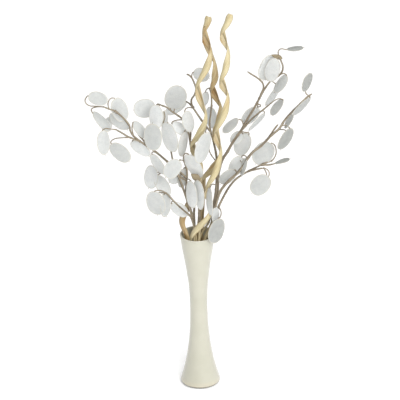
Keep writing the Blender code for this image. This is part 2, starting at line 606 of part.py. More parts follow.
make_spray("honesty_right_upper", silver, (6.2, 4.2), (20, 5), 4.4, RIGHT_UPPER_STEM, RIGHT_UPPER_TWIGS,
           RIGHT_UPPER_PODS, RIGHT_UPPER_HUSKS)
make_spray("honesty_right_main", silver, (6, -6), (18, -13), 4.0,
           RIGHT_MAIN_STEM, RIGHT_MAIN_TWIGS, RIGHT_MAIN_PODS)
make_spray("honesty_right_low", silver, (8, -0.5), (22, -4), 3.6,
           RIGHT_LOW_STEM, RIGHT_LOW_TWIGS, RIGHT_LOW_PODS)
make_cane("ribbon_right", cane, cane_knots(RIGHT_CANE, (-6.6, -14.8), 8.88, 8.53))
make_cane("ribbon_middle", cane, cane_knots(MIDDLE_CANE, (4, 12), 7.6, 7.58))
make_cane("ribbon_left", cane, cane_knots(LEFT_CANE, (-15.6, -7.8), 6.82, 7.03))
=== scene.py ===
"""Vase of dried honesty and curled cane: its looks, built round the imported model.

Metres, +Z up, the viewer looks along +Y. The origin is the centre of the vase's flat foot.
"""
import math
import random

import bpy
import numpy as np
from mathutils import Matrix, Vector


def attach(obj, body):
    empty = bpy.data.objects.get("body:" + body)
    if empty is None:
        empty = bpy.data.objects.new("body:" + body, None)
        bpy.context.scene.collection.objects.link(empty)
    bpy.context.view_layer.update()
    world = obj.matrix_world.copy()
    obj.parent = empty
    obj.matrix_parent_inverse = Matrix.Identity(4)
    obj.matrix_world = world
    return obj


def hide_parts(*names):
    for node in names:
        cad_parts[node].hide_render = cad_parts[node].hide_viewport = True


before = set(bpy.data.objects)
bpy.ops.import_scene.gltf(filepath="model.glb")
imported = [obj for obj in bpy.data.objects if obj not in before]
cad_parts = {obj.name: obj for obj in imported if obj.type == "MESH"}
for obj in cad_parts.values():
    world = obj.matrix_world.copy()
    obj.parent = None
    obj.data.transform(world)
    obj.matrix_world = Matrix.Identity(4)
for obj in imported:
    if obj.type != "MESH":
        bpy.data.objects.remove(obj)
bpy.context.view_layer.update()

# Vase
# One hourglass vase, slip-cast in stoneware: wide flat foot, narrow waist, flared mouth, thin round lip. It
# was dipped in an ivory glaze that fired to a soft satin and lies a little thin at the foot. A painted
# highlight runs along the top of its lip.
MM = 0.001
VASE_HEIGHT = 336 * MM
RIM_RADIUS = 34.8 * MM
WAIST_RADIUS = 17.5 * MM
FOOT_RADIUS = 39.5 * MM
FOOT_ROUNDING = 6 * MM
WAIST_HEIGHT = 178 * MM
WALL = 4 * MM
LIP = 3.4 * MM
FLOOR_THICKNESS = 9 * MM
INNER_CORNER = 3 * MM
FOOT_FLARE_POWER = 2.4
# Share of the way from waist to rim, in height and in the growth of the radius.
NECK_CURVE = [(0.0, 0.0), (0.23, 0.08), (0.41, 0.26), (0.58, 0.46), (0.75, 0.71), (0.9, 0.91), (1.0, 1.0)]
# The inside is smooth between these heights.
INSIDE_TOP = 318 * MM
INSIDE_FOOT = 12 * MM
# The smallest rings, under the foot and on the floor inside, and a ring about halfway out under the foot.
POLE_RADIUS = 0.5 * MM
UNDERSIDE_RADIUS = 15 * MM
VASE_COLUMNS = 144
WALL_ROWS = 52
FOOT_ROWS = 7
LIP_ROWS = 11


def through(knots, at):
    """A smooth curve through knots (rows of numbers, the first rising), read at the given first numbers.

    Between two knots each value follows the cubic that meets both with the slopes that np.gradient finds.
    """
    knots = np.array(knots, float)
    t, values = knots[:, 0], knots[:, 1:]
    slopes = np.gradient(values, t, axis=0)
    i = np.clip(np.searchsorted(t, at, side="right") - 1, 0, len(t) - 2)
    span = (t[i + 1] - t[i])[:, None]
    s = ((at - t[i]) / span[:, 0])[:, None]
    return (
        values[i] * (1 + 2 * s) * (1 - s) ** 2
        + values[i + 1] * s**2 * (3 - 2 * s)
        + slopes[i] * span * s * (1 - s) ** 2
        - slopes[i + 1] * span * s**2 * (1 - s)
    )


def outer_radius(heights):
    """The vase's outer radius at each height: a power curve below the waist, and NECK_CURVE above it."""
    below = np.clip((WAIST_HEIGHT - heights) / (WAIST_HEIGHT - FOOT_ROUNDING), 0, 1)
    above = np.clip((heights - WAIST_HEIGHT) / (VASE_HEIGHT - WAIST_HEIGHT), 0, 1)
    grown = through(NECK_CURVE, above)[:, 0]
    flared = WAIST_RADIUS + (FOOT_RADIUS - WAIST_RADIUS) * below**FOOT_FLARE_POWER
    return np.where(heights < WAIST_HEIGHT, flared, WAIST_RADIUS + (RIM_RADIUS - WAIST_RADIUS) * grown)


def closed_skin(rows):
    """Points and faces of a closed skin: rings of points joined row to row, and one face over each end ring.

    The faces look outwards where the rings turn anticlockwise round the way from the first row to the last.
    """
    n_rows, n_columns = rows.shape[:2]
    index = np.arange(n_rows * n_columns).reshape(n_rows, n_columns)
    turned = np.roll(index, -1, axis=1)
    quads = np.stack([index[:-1], turned[:-1], turned[1:], index[1:]], axis=-1).reshape(-1, 4)
    return rows.reshape(-1, 3), [*quads.tolist(), index[0][::-1].tolist(), index[-1].tolist()]


def piece(name, skins, finish, uv=None, tones=None):
    """One object made of closed skins, smooth, with a UV point and named numbers for each of its points."""
    points, faces, start = [], [], 0
    for skin_points, skin_faces in skins:
        points.append(skin_points)
        faces += [[corner + start for corner in face] for face in skin_faces]
        start += len(skin_points)
    mesh = bpy.data.meshes.new(name)
    mesh.from_pydata(np.concatenate(points), [], faces)
    mesh.polygons.foreach_set("use_smooth", np.ones(len(mesh.polygons), bool))
    if uv is not None:
        corners = np.empty(len(mesh.loops), np.int32)
        mesh.loops.foreach_get("vertex_index", corners)
        layer = mesh.uv_layers.new(name="flat")
        layer.data.foreach_set("uv", np.concatenate(uv)[corners].astype(np.float32).ravel())
    for tone, values in (tones or {}).items():
        attribute = mesh.attributes.new(tone, "FLOAT", "POINT")
        attribute.data.foreach_set("value", np.concatenate(values).astype(np.float32))
    mesh.materials.append(finish)
    made = bpy.data.objects.new(name, mesh)
    bpy.context.scene.collection.objects.link(made)
    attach(made, "root")
    return made


def linear(hex_colour):
    """An sRGB hex colour as the linear RGBA that the shaders take."""
    shares = [int(hex_colour[i : i + 2], 16) / 255 for i in (1, 3, 5)]
    return (*(c / 12.92 if c <= 0.04045 else ((c + 0.055) / 1.055) ** 2.4 for c in shares), 1.0)


def new_finish(name):
    """An empty material: its tree, and the material."""
    made = bpy.data.materials.new(name)
    made.use_nodes = True
    made.node_tree.nodes.clear()
    return made.node_tree, made


def add(tree, kind, inputs=(), **settings):
    """Adds one shader node: inputs maps its sockets to a value or to the socket that feeds them."""
    made = tree.nodes.new("ShaderNode" + kind)
    for key, value in settings.items():
        setattr(made, key, value)
    for key, value in dict(inputs).items():
        if isinstance(value, bpy.types.NodeSocket):
            tree.links.new(value, made.inputs[key])
        else:
            made.inputs[key].default_value = value
    return made


def paint(tree, colour, coats):
    """The socket of a colour with coats laid over it, one after the other.

    A coat has the socket of a number, the two values of it between which the coat comes in, the share that it
    covers in the end, and its hex colour.
    """
    for number, low, high, most, coat in coats:
        comes_in = {"Value": number, "From Min": low, "From Max": high, "To Max": most}
        share = add(tree, "MapRange", comes_in).outputs["Result"]
        # Sockets 0, 6 and 7 of a colour mix are its share and its two colours, and output 2 is the colour.
        colour = add(tree, "Mix", {0: share, 6: colour, 7: linear(coat)}, data_type="RGBA").outputs[2]
    return colour


# Ivory stoneware glaze, dipped and fired: a satin, slightly clouded body with a soft gleam on it.
tree, ivory_glaze = new_finish("ivory_satin_glaze")
where = add(tree, "TexCoord").outputs["Object"]
height = add(tree, "SeparateXYZ", {"Vector": where}).outputs["Z"]
# The clouds are 45 mm wide, and the dimples of the glaze nearly 4 mm.
clouds = {"Vector": where, "Scale": 1 / (45.45 * MM), "Detail": 3.0, "Roughness": 0.5}
cloud = add(tree, "TexNoise", clouds).outputs["Fac"]
peel = add(tree, "TexNoise", {"Vector": where, "Scale": 1 / (3.846 * MM), "Detail": 2.0}).outputs["Fac"]
# Pinholes and iron specks of a third of a millimetre are drawn about 1 mm wide, or they would not show.
speck = add(tree, "TexNoise", {"Vector": where, "Scale": 1 / (1.4286 * MM), "Detail": 1.0}).outputs["Fac"]
# Over the clouded ivory come the specks, the thin warm glaze low down, painted shade along the foot's edge
# and under it, and a painted highlight along the top of the lip.
glazed = paint(tree, linear("#B8B6A5"), [
    (cloud, 0.35, 0.65, 1.0, "#BEBCAC"),
    (speck, 0.68, 0.76, 0.35, "#BDB7A2"),
    (height, 16 * MM, 1 * MM, 0.75, "#C4B9A0"),
    # Painted shade: the foot's edge and underside are darkened, for the shade where the vase meets the floor.
    (height, 6 * MM, 3.6 * MM, 0.95, "#69675A"),
    # Painted highlight: a pale line along the top of the lip, where the light falls on it.
    (height, VASE_HEIGHT - 1.8 * MM, VASE_HEIGHT, 0.5, "#DEDCD2"),
])
dimpled = add(tree, "Bump", {"Height": peel, "Strength": 0.12, "Distance": 0.3 * MM}).outputs["Normal"]
dulled = {"Value": cloud, "From Min": 0.3, "From Max": 0.7, "To Min": 0.34, "To Max": 0.42}
dulness = add(tree, "MapRange", dulled).outputs["Result"]
glaze = add(tree, "BsdfPrincipled", {"Base Color": glazed, "Roughness": dulness, "Normal": dimpled,
                                     "IOR": 1.5, "Coat Weight": 0.9, "Coat Roughness": 0.2})
add(tree, "OutputMaterial", {"Surface": glaze.outputs["BSDF"]})

# The outline runs from the middle of the foot, up the outside, over the lip and down to the middle of the
# floor inside, with a quarter round at the foot and a half round at the lip. It is spun about the axis.
quarter = np.linspace(-math.pi / 2, 0, FOOT_ROWS)
foot = [FOOT_RADIUS + FOOT_ROUNDING * (np.cos(quarter) - 1), FOOT_ROUNDING * (1 + np.sin(quarter))]
up_wall = np.linspace(FOOT_ROUNDING, VASE_HEIGHT - LIP / 2, WALL_ROWS)[1:-1]
half = np.linspace(0, math.pi, LIP_ROWS)
lip = [RIM_RADIUS + LIP / 2 * (np.cos(half) - 1), VASE_HEIGHT + LIP / 2 * (np.sin(half) - 1)]
down_wall = np.linspace(INSIDE_TOP, INSIDE_FOOT, WALL_ROWS)
inside = outer_radius(down_wall) - WALL
radius = np.concatenate([[POLE_RADIUS, UNDERSIDE_RADIUS], foot[0], outer_radius(up_wall), lip[0], inside,
                         [inside[-1] - INNER_CORNER, POLE_RADIUS]])
level = np.concatenate([[0, 0], foot[1], up_wall, lip[1], down_wall, [FLOOR_THICKNESS] * 2])
bearing = np.linspace(0, 2 * math.pi, VASE_COLUMNS, endpoint=False)
rows = np.stack([radius[:, None] * np.cos(bearing), radius[:, None] * np.sin(bearing),
                 level[:, None] * np.ones(VASE_COLUMNS)], axis=-1)
vase = piece("vase_body", [closed_skin(rows)], ivory_glaze)
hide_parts("vase")

# Curled cane
# Three long strips split from blond cane, soaked and wound round a rod, so that each dried as a loose open
# screw. The outer face is the smooth pale skin, the inner face is duller pith, and the edges are browner.
# They stand loose in the vase, close to its wall at the mouth.
CANE_WIDTH = 14 * MM
CANE_THICKNESS = 1.6 * MM
CANE_BOW = 1.6 * MM
# Above the mouth, where it has room, a strip is cupped more deeply, like a gutter, and opens a little wider.
# Both come in evenly over the height of CANE_OPENING.
CANE_CUP = 5.2 * MM
CANE_SPREAD = 0.08
CANE_OPENING = 60 * MM
CANE_CURL_RADIUS = 7 * MM
CANE_TILT = math.radians(28)
CANE_WALL_GAP = 1.1 * MM
# The width wavers: it is short of CANE_WIDTH by the share CANE_WAVERS, give or take as much, and turns about
# once in each CANE_WAVE. It gets narrower towards the torn tip.
CANE_WAVERS = 0.05
CANE_WAVE = 60 * MM
CANE_TIP = 9 * MM
CANE_TIP_NARROWS = 0.35
# Canes and stems stand this far above the vase's floor.
CLEARANCE = 0.3 * MM
# Heights in the vase, each with how near the cane's axis there is to where it crosses the mouth.
CANE_RUN = [(FLOOR_THICKNESS + CLEARANCE, 0), (90 * MM, 0), (WAIST_HEIGHT, 0), (216 * MM, 0),
            (257 * MM, 0.15), (280 * MM, 0.3), (303 * MM, 0.52), (VASE_HEIGHT, 1)]
CANE_ROW_STEP = 2.2 * MM
CANE_RING = 22
# How blunt a strip's cut edges are: the power to which the sine that rounds them is raised.
CANE_BLUNTNESS = 0.7
# The dark streak on the inner face, partly a stain and partly painted shade in the hollow of the cup: its
# place and half its width, from -1 at one edge to 1 at the other.
STREAK_AT = -0.5
STREAK_HALF_WIDTH = 0.25
# The arrangement is laid out on a front sketch, which is the photograph's own frame, a step to a pixel. Its
# scale, the foot's place on it, its turn and how steeply it looks down are these. At a depth of DEPTH_FAN a
# sketch point lies twice as deep as its number says.
SKETCH_STEP = 2.0 * MM
SKETCH_FOOT = (200.5, 381.0)
SKETCH_TURN = math.radians(1.3)
SIGHT_ANGLE = math.radians(28.0)
DEPTH_FAN = 70.0


def place(spots):
    """Sketch points (across, down, depth) in the round: depth d lies d (1 + |d| / DEPTH_FAN) mm back.

    The sketch is turned upright and scaled. What is drawn above the foot is height times the cosine of the
    sight angle plus the way back times its sine, and this is solved for the height.
    """
    across, down, depth = np.asarray(spots, float).T
    right, above = across - SKETCH_FOOT[0], SKETCH_FOOT[1] - down
    x = SKETCH_STEP * (right * math.cos(SKETCH_TURN) + above * math.sin(SKETCH_TURN))
    up = SKETCH_STEP * (above * math.cos(SKETCH_TURN) - right * math.sin(SKETCH_TURN))
    y = depth * (1 + np.abs(depth) / DEPTH_FAN) * MM
    return np.stack([x, y, (up - y * math.sin(SIGHT_ANGLE)) / math.cos(SIGHT_ANGLE)], axis=-1)


def unit(vectors):
    """Each vector at length one."""
    return vectors / np.linalg.norm(vectors, axis=-1, keepdims=True)


def length_along(points):
    """How far along the line through these points each of them lies: the sum of the steps before it."""
    return np.concatenate([[0], np.cumsum(np.linalg.norm(np.diff(points, axis=0), axis=1))])


def waver(rng, length, wave, at):
    """A random number from about -1 to 1 at each place: a smooth curve through random knots a wave apart."""
    knots = np.arange(0, length + 3 * wave, wave)
    return through(np.stack([knots, [rng.uniform(-1, 1) for _ in knots]], axis=1), np.asarray(at))[:, 0]


def cane_knots(sketch, mouth_axis, mouth_turns, waist_turns, mouth_tilt=0):
    """Rows of height, axis x, axis y, curl radius, half turns and tilt for one cane, from its foot up.

    In the vase the cane stops turning and lies along the wall, at the bearing that waist_turns gives. Its two
    edges lie there on the circle that is CANE_WALL_GAP off the wall, or further in where its curl ends before
    it. At the mouth it leans off the wall by mouth_tilt degrees.
    """
    rows = []
    leans = math.radians(mouth_tilt)
    heights, nearnesses = np.array(CANE_RUN).T
    walls = outer_radius(np.maximum(heights, WAIST_HEIGHT)) - WALL - CANE_THICKNESS / 2 - CANE_WALL_GAP
    for height, nearness, wall in zip(heights, nearnesses, walls):
        along_wall = math.sqrt(wall**2 - (CANE_WIDTH / 2) ** 2) + CANE_BOW / 2
        axis = np.array(mouth_axis) * MM
        reach = min(along_wall, np.linalg.norm(axis) + CANE_CURL_RADIUS)
        axis *= nearness
        turns = waist_turns + (mouth_turns - waist_turns) * nearness
        rows.append((height, *axis, reach - np.linalg.norm(axis), turns, leans * nearness))
    for across, down, depth, turns in reversed(sketch):
        x, y, z = place([(across, down, depth)])[0]
        rows.append((z, x, y, CANE_CURL_RADIUS, turns, CANE_TILT + leans))
        leans = 0
    return rows


def curl_cane(name, knots, toasted):
    """One cane: a thin crescent carried along a screw. toasted has rows of height, in mm, and brownness.

    The middle line circles a wandering axis at the curl radius. Round it runs the section: across it, half
    the width times the cosine of the ring angle; through it, the bow, a parabola, and half the thickness
    times a blunted sine. Over CANE_OPENING above the mouth the bow deepens to the cup, and the strip
    spreads. The tones say how far each point lies on the inner face, at an edge and in the dark streak, and
    how brown it is.
    """
    rng = random.Random(name)
    bottom, top = knots[0][0], knots[-1][0]
    heights = np.linspace(bottom, top, int((top - bottom) / CANE_ROW_STEP))
    axis_x, axis_y, curl, turns, tilt = through(knots, heights).T
    bearing = -math.pi * turns
    outward = np.stack([np.cos(bearing), np.sin(bearing), 0 * bearing], axis=1)
    around = np.stack([-np.sin(bearing), np.cos(bearing), 0 * bearing], axis=1)
    middle = np.stack([axis_x, axis_y, heights], axis=1) + curl[:, None] * outward
    along = unit(np.gradient(middle, axis=0))
    across = np.cos(tilt)[:, None] * around + np.sin(tilt)[:, None] * outward
    across = unit(across - (across * along).sum(axis=1, keepdims=True) * along)
    normal = np.cross(across, along)
    run = length_along(middle)
    width = CANE_WIDTH * (1 - CANE_WAVERS + CANE_WAVERS * waver(rng, run[-1], CANE_WAVE, run))
    width *= 1 - CANE_TIP_NARROWS * np.clip(1 - (run[-1] - run) / CANE_TIP, 0, 1) ** 2
    risen = np.clip((heights - VASE_HEIGHT) / CANE_OPENING, 0, 1)
    width *= 1 + CANE_SPREAD * risen
    cup = CANE_BOW + (CANE_CUP - CANE_BOW) * risen
    ring = np.linspace(0, 2 * math.pi, CANE_RING, endpoint=False)
    share = np.cos(ring)
    bulge = np.sign(np.sin(ring)) * np.abs(np.sin(ring)) ** CANE_BLUNTNESS
    side = width[:, None] / 2 * share
    through_it = cup[:, None] * (0.5 - share**2) - CANE_THICKNESS / 2 * bulge
    rows = middle[:, None] + side[..., None] * across[:, None] + through_it[..., None] * normal[:, None]
    flat = np.stack(np.broadcast_arrays(side, run[:, None]), axis=-1).reshape(-1, 2)
    pithy = (1 + bulge) / 2
    tones = {
        "inner": pithy,
        "edge": np.abs(share) ** 6,
        "gutter": np.exp(-(((share - STREAK_AT) / STREAK_HALF_WIDTH) ** 2)) * pithy,
        "browned": np.interp(heights / MM, *np.array(toasted, float).T)[:, None],
    }
    tones = {tone: [np.broadcast_to(values, side.shape).ravel()] for tone, values in tones.items()}
    cane = piece(name + "_strip", [closed_skin(rows)], blond_cane, [flat], tones)
    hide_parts(name)


# Split cane: long straight fibres, a waxy pale skin outside, duller pith inside with a dark streak along it,
# partly a stain and partly painted shade, and browner edges. The steam browned it in patches.
tree, blond_cane = new_finish("split_blond_cane")
flat = add(tree, "UVMap", uv_map="flat").outputs["UV"]
tones = ("inner", "edge", "gutter", "browned")
inner, edge, gutter, browned = [add(tree, "Attribute", attribute_name=tone).outputs["Fac"] for tone in tones]
# Fibres lie 0.8 mm apart across the strip and run on for some 60 mm. Stains are 6 mm wide and 70 mm long.
fibres = (1 / (0.8333 * MM), 1 / (62.5 * MM), 1.0)
fibre_at = add(tree, "Mapping", {"Vector": flat, "Scale": fibres}).outputs["Vector"]
fibre = add(tree, "TexNoise", {"Vector": fibre_at, "Scale": 1.0, "Detail": 4.0}).outputs["Fac"]
stains = (1 / (6.25 * MM), 1 / (71.43 * MM), 1.0)
stain_at = add(tree, "Mapping", {"Vector": flat, "Scale": stains}).outputs["Vector"]
stain = add(tree, "TexNoise", {"Vector": stain_at, "Scale": 1.0, "Detail": 3.0}).outputs["Fac"]
patches = {"Value": stain, "From Min": 0.35, "From Max": 0.6, "To Min": 0.35, "To Max": 1.0}
patch = add(tree, "MapRange", patches).outputs["Result"]
toast = add(tree, "Math", {0: browned, 1: patch}, operation="MULTIPLY").outputs["Value"]
outer_face = paint(tree, linear("#BFB184"), [(fibre, 0.35, 0.65, 1.0, "#D1C8A7")])
inner_face = paint(tree, linear("#BCAC86"), [(fibre, 0.35, 0.65, 1.0, "#CFC4A6")])
strip = add(tree, "Mix", {0: inner, 6: outer_face, 7: inner_face}, data_type="RGBA").outputs[2]
# Over both faces come the stains, the toasted patches, the dark streak, partly painted shade, and the edges.
strip = paint(tree, strip, [
    (stain, 0.56, 0.74, 0.7, "#B8935A"),
    (toast, 0.0, 1.0, 1.0, "#8D6833"),
    # Partly painted shade: a dark streak down the hollow of the inner face, where a stain runs too.
    (gutter, 0.1, 1.0, 0.75, "#5E5030"),
    (edge, 0.45, 1.0, 0.35, "#A98F5C"),
])
grain = add(tree, "Bump", {"Height": fibre, "Strength": 0.5, "Distance": 0.4 * MM}).outputs["Normal"]
waxy = add(tree, "MapRange", {"Value": inner, "To Min": 0.42, "To Max": 0.68}).outputs["Result"]
cane_skin = add(tree, "BsdfPrincipled", {"Base Color": strip, "Roughness": waxy, "Normal": grain,
                                         "IOR": 1.46})
add(tree, "OutputMaterial", {"Surface": cane_skin.outputs["BSDF"]})

# Each cane's sketch rows are its axis across, down and depth, and the half turns from its right side, rising
# downwards. Its browning has rows of height, in mm, and brownness, from 0 to 1.
# The right-hand cane: it stands at the front of the vase, crosses before the stems at the mouth and is the
# tallest.
RIGHT_CANE = [
    (228, 14.5, -14, 0.2), (225.2, 33, -14, 1), (224.7, 56, -14, 2), (224.4, 80, -14, 3),
    (224.3, 101, -14, 4), (219.3, 130.5, -14, 5), (217, 156.5, -15, 6), (210.8, 186, -20, 7),
    (207.2, 212, -24, 8),
]
RIGHT_BROWNING = [(0, 0.15), (900, 0.1)]
curl_cane("ribbon_right", cane_knots(RIGHT_CANE, (-6.6, -14.8), 8.88, 8.53), RIGHT_BROWNING)
# The middle cane: it stands at the back of the vase and is browned nearly all the way up.
MIDDLE_CANE = [
    (206.8, 16, 16, 0.3), (207.3, 33, 16, 1), (212, 68, 16, 2), (215.3, 88, 16, 3), (217.5, 111, 16, 4),
    (217.3, 131, 2, 5), (217, 155, 0, 6), (206.5, 178, 20, 7), (201.5, 214, 16, 7.5),
]
MIDDLE_BROWNING = [(340, 0.6), (430, 0.5), (560, 0.4), (640, 0.8), (690, 0.7), (760, 0.4), (860, 0.3)]
curl_cane("ribbon_middle", cane_knots(MIDDLE_CANE, (4, 12), 7.6, 7.58), MIDDLE_BROWNING)
# The left-hand cane: it lies against the left of the mouth, browned there, climbs between the sprays and is
# browned again at its tip.
LEFT_CANE = [
    (207.5, 27, -12, 0.8), (207.5, 35, -12, 1), (207.3, 56, -12, 2), (200.5, 86, -12, 3),
    (202.2, 120, -10, 4), (195.5, 143.5, -4, 5), (198, 169, 4, 6), (191, 195, 13.5, 6.4),
    (183, 219.5, -1, 6.64),
]
LEFT_BROWNING = [(0, 1), (400, 0.9), (480, 0.15), (700, 0.1), (745, 0.3), (758, 0.9), (776, 0.9), (792, 0.5),
                 (815, 0.8)]
curl_cane("ribbon_left", cane_knots(LEFT_CANE, (-15.6, -7.8), 6.82, 7.03, -18), LEFT_BROWNING)

# Honesty sprays
# Nine dried stems of honesty. Each grew in one piece: a ribbed tan stem, side twigs, thin curved stalks, and
# flat oval pods that have shed both husks, so that only a silvery papery skin in a thin wiry rim is left.
# They stand loose in the vase.
TWIG_ROOT_RADIUS = 1.95 * MM
TWIG_TIP_RADIUS = 1.5 * MM
STALK_RADIUS = 1.1 * MM
STALK_SINKS = 1.5 * MM
# A pod ends in a thin beak. A tenth of it is sunk in the pod.
BEAK = 3 * MM
BEAK_RADIUS = 0.3 * MM
BEAK_SUNK = 0.1
# A twig swells by half where it leaves its parent, and by a fifth at each old leaf scar.
FORK_SWELLS = 0.5
FORK_LENGTH = 2.5 * MM
LEAF_SCARS = 38 * MM
SCAR_SWELLS = 0.2
SCAR_LENGTH = 2.2 * MM
RIBS = 5
RIB_HEIGHT = 0.05
BLUNT_TIP = 0.55
# Above the mouth a stem slims to a twig, slowly at first: the power of the way along it.
STEM_SLIMMING = 2.2
# The columns round each kind of tube, the least rows along it, and how far apart the rows are.
STEM_SIDES = 12
TWIG_SIDES = 9
STALK_SIDES = 7
BEAK_SIDES = 5
TWIG_LEAST_ROWS = 6
TWIG_STEP = 3.5 * MM
STALK_STEP = 2.5 * MM
STALK_KNOTS = 9
BEAK_KNOTS = 4
# How pale the rind of each kind is, from a stem's, 0, to a stalk's, 1.
THIN = {"stem": 0.0, "twig": 0.4, "stalk": 1.0, "husk": 0.6}
POD_WIDTH_TO_LENGTH = 0.65
POD_FULLNESS = 0.86
POD_ARCH = 1.2 * MM
# The most that a pod curls, and the share of it that every pod has.
POD_CURL = 0.9 * MM
POD_LEAST_CURL = 0.4
POD_RIPPLE = 0.12 * MM
POD_RIPPLES = 11
# The most that a pod's tip lies in front of its root or behind it, as a depth on the sketch.
POD_LEAN = 5
# Half the thickness of a pod's skin, and the radius of its rim.
POD_SKIN = 0.2 * MM
POD_RIM = 0.5 * MM
# A pod's rows: shares of the way from its middle to its rim, and angles round the rim.
POD_FACE = np.array([0.1, 0.35, 0.6, 0.8, 0.92])
POD_ROUND = np.radians([-110, -55, 0, 55, 110])
POD_COLUMNS = 28
# How far a pod's tone may be from the shade that its spray's row gives.
POD_TONE = 0.06
HUSK_RIDGES = 5
HUSK_RIDGE_HEIGHT = 0.14
HUSK_TWIST = 3
HUSK_GRAIN = 20 * MM
# The first and last rows of a husk, as shares of its length, and the power of the way along it that puts its
# widest place two fifths along.
HUSK_ENDS = (0.03, 0.97)
HUSK_BELLY = 0.8
HUSK_ROWS = 9
HUSK_COLUMNS = 12
# The rings of twigs and husks start square to these directions, which none of them runs along.
TWIG_SQUARE = (0.28, -0.9, 0.33)
HUSK_SQUARE = (0.1, -0.8, 0.5)


def twig_skin(rng, knots, radii, sides=TWIG_SIDES, step=TWIG_STEP):
    """One twig: a round tube along the smooth curve through its knots.

    Its radius goes evenly from knot to knot. The swelling at the fork dies away as an exponential, and the
    one at each scar is a bell curve. The low ribs are a cosine of RIBS times the ring angle. The end narrows
    to a blunt tip.
    """
    run = length_along(knots)
    at = np.linspace(0, run[-1], max(TWIG_LEAST_ROWS, int(run[-1] / step)))
    way = through(np.column_stack([run, knots]), at)
    along = unit(np.gradient(way, axis=0))
    side = unit(np.cross(along, TWIG_SQUARE))
    over = np.cross(along, side)
    radius = np.interp(at, run, radii)
    radius *= 1 + FORK_SWELLS * np.exp(-at / FORK_LENGTH)
    from_scar = (at + rng.uniform(0, LEAF_SCARS)) % LEAF_SCARS - LEAF_SCARS / 2
    radius *= 1 + SCAR_SWELLS * np.exp(-((from_scar / SCAR_LENGTH) ** 2))
    radius[-1] *= BLUNT_TIP
    ring = np.linspace(0, 2 * math.pi, sides, endpoint=False)
    ribbed = radius[:, None] * (1 + RIB_HEIGHT * np.cos(RIBS * ring + rng.uniform(0, 6)))
    rows = way[:, None] + ribbed[..., None] * (
        np.cos(ring)[:, None] * side[:, None] + np.sin(ring)[:, None] * over[:, None]
    )
    flat = np.stack(np.broadcast_arrays(ribbed * np.cos(ring), at[:, None] + rng.uniform(0, 1)), axis=-1)
    return closed_skin(rows), flat.reshape(-1, 2)


def pod_skin(rng, root, tip, seen_width):
    """One pod: a papery skin, arched by a shallow parabola, in a thin round rim.

    It turns about its length by the angle whose cosine is the width that shows over its own. Its outline is
    an oval whose sine is raised to POD_FULLNESS. Rows of it shrink to the middle on both faces and run round
    the rim between them. The whole oval curls like a saddle, by the square of the way out times the cosine of
    twice the ring angle. The skin ripples where it meets the rim, by the eighth power of the way out, and the
    rim's tone fades inwards by its fourteenth.
    """
    length = np.linalg.norm(tip - root)
    width = max(POD_WIDTH_TO_LENGTH * length, abs(seen_width))
    along = (tip - root) / length
    sight = np.array([0, -math.cos(SIGHT_ANGLE), math.sin(SIGHT_ANGLE)])
    facing = unit(sight - sight.dot(along) * along)
    turn = math.copysign(math.acos(abs(seen_width) / width), seen_width)
    side = np.cross(along, facing)
    normal = facing * math.cos(turn) + side * math.sin(turn)
    side = np.cross(along, normal)
    ring = np.linspace(0, 2 * math.pi, POD_COLUMNS, endpoint=False)
    bulge = np.sign(np.sin(ring)) * np.abs(np.sin(ring)) ** POD_FULLNESS
    out = -length / 2 * np.cos(ring)[:, None] * along + width / 2 * bulge[:, None] * side
    reach = np.linalg.norm(out, axis=1)
    level, edge = np.zeros(len(POD_FACE)), np.ones(len(POD_ROUND))
    share = np.concatenate([POD_FACE, edge, POD_FACE[::-1]])[:, None]
    beside = np.concatenate([level, POD_RIM * (np.cos(POD_ROUND) - 1), level])[:, None]
    lift = np.concatenate([level - POD_SKIN, POD_RIM * np.sin(POD_ROUND), level + POD_SKIN])[:, None]
    curl = rng.uniform(POD_LEAST_CURL, 1) * POD_CURL
    fold = rng.uniform(0, 6)
    ripple = rng.uniform(0, 6)
    lift = lift + POD_ARCH * (1 - share**2)
    lift = lift + curl * share**2 * np.cos(2 * ring + fold)
    lift = lift + POD_RIPPLE * share**8 * np.cos(POD_RIPPLES * ring + ripple)
    spread = share + beside / reach
    rows = (root + tip) / 2 + spread[..., None] * out + lift[..., None] * normal
    flat = np.stack([spread * (out @ along), spread * (out @ side)], axis=-1) + rng.uniform(0, 1)
    wiry = np.broadcast_to(share**14, spread.shape)
    return closed_skin(rows), flat.reshape(-1, 2), wiry.ravel()


def husk_skin(start, end, width, thickness):
    """A withered husk: a flattened lump, widest two fifths of the way from its start to its end.

    Its size is the sine of pi times the way to the power HUSK_BELLY. Its ridges are a cosine of the ring
    angle, and turn a little on the way.
    """
    along = unit(end - start)
    side = unit(np.cross(along, HUSK_SQUARE))
    over = np.cross(along, side)
    t = np.linspace(*HUSK_ENDS, HUSK_ROWS)[:, None]
    ring = np.linspace(0, 2 * math.pi, HUSK_COLUMNS, endpoint=False)
    swell = np.sin(math.pi * t**HUSK_BELLY)
    swell = swell * (1 + HUSK_RIDGE_HEIGHT * np.cos(HUSK_RIDGES * ring + HUSK_TWIST * t))
    rows = (start + t * (end - start))[:, None] + (width / 2 * swell * np.cos(ring))[..., None] * side
    rows = rows + (thickness / 2 * swell * np.sin(ring))[..., None] * over
    flat = np.stack(np.broadcast_arrays(width * swell, t * HUSK_GRAIN), axis=-1)
    return closed_skin(rows), flat.reshape(-1, 2)


def nearest_on(twigs, across, down):
    """The point of these twigs nearest to a sketch point, as a sketch point with its depth.

    Each stretch of a twig gives the foot of the square on it from the point, held to the stretch's ends.
    """
    best = None
    for twig in twigs:
        for a, b in zip(twig, twig[1:]):
            run = np.subtract(b, a)
            share = np.dot(np.subtract((across, down), a[:2]), run[:2]) / np.dot(run[:2], run[:2])
            spot = np.add(a, min(1, max(0, share)) * run)
            gap = math.hypot(spot[0] - across, spot[1] - down)
            if best is None or gap < best[0]:
                best = (gap, spot)
    return best[1]


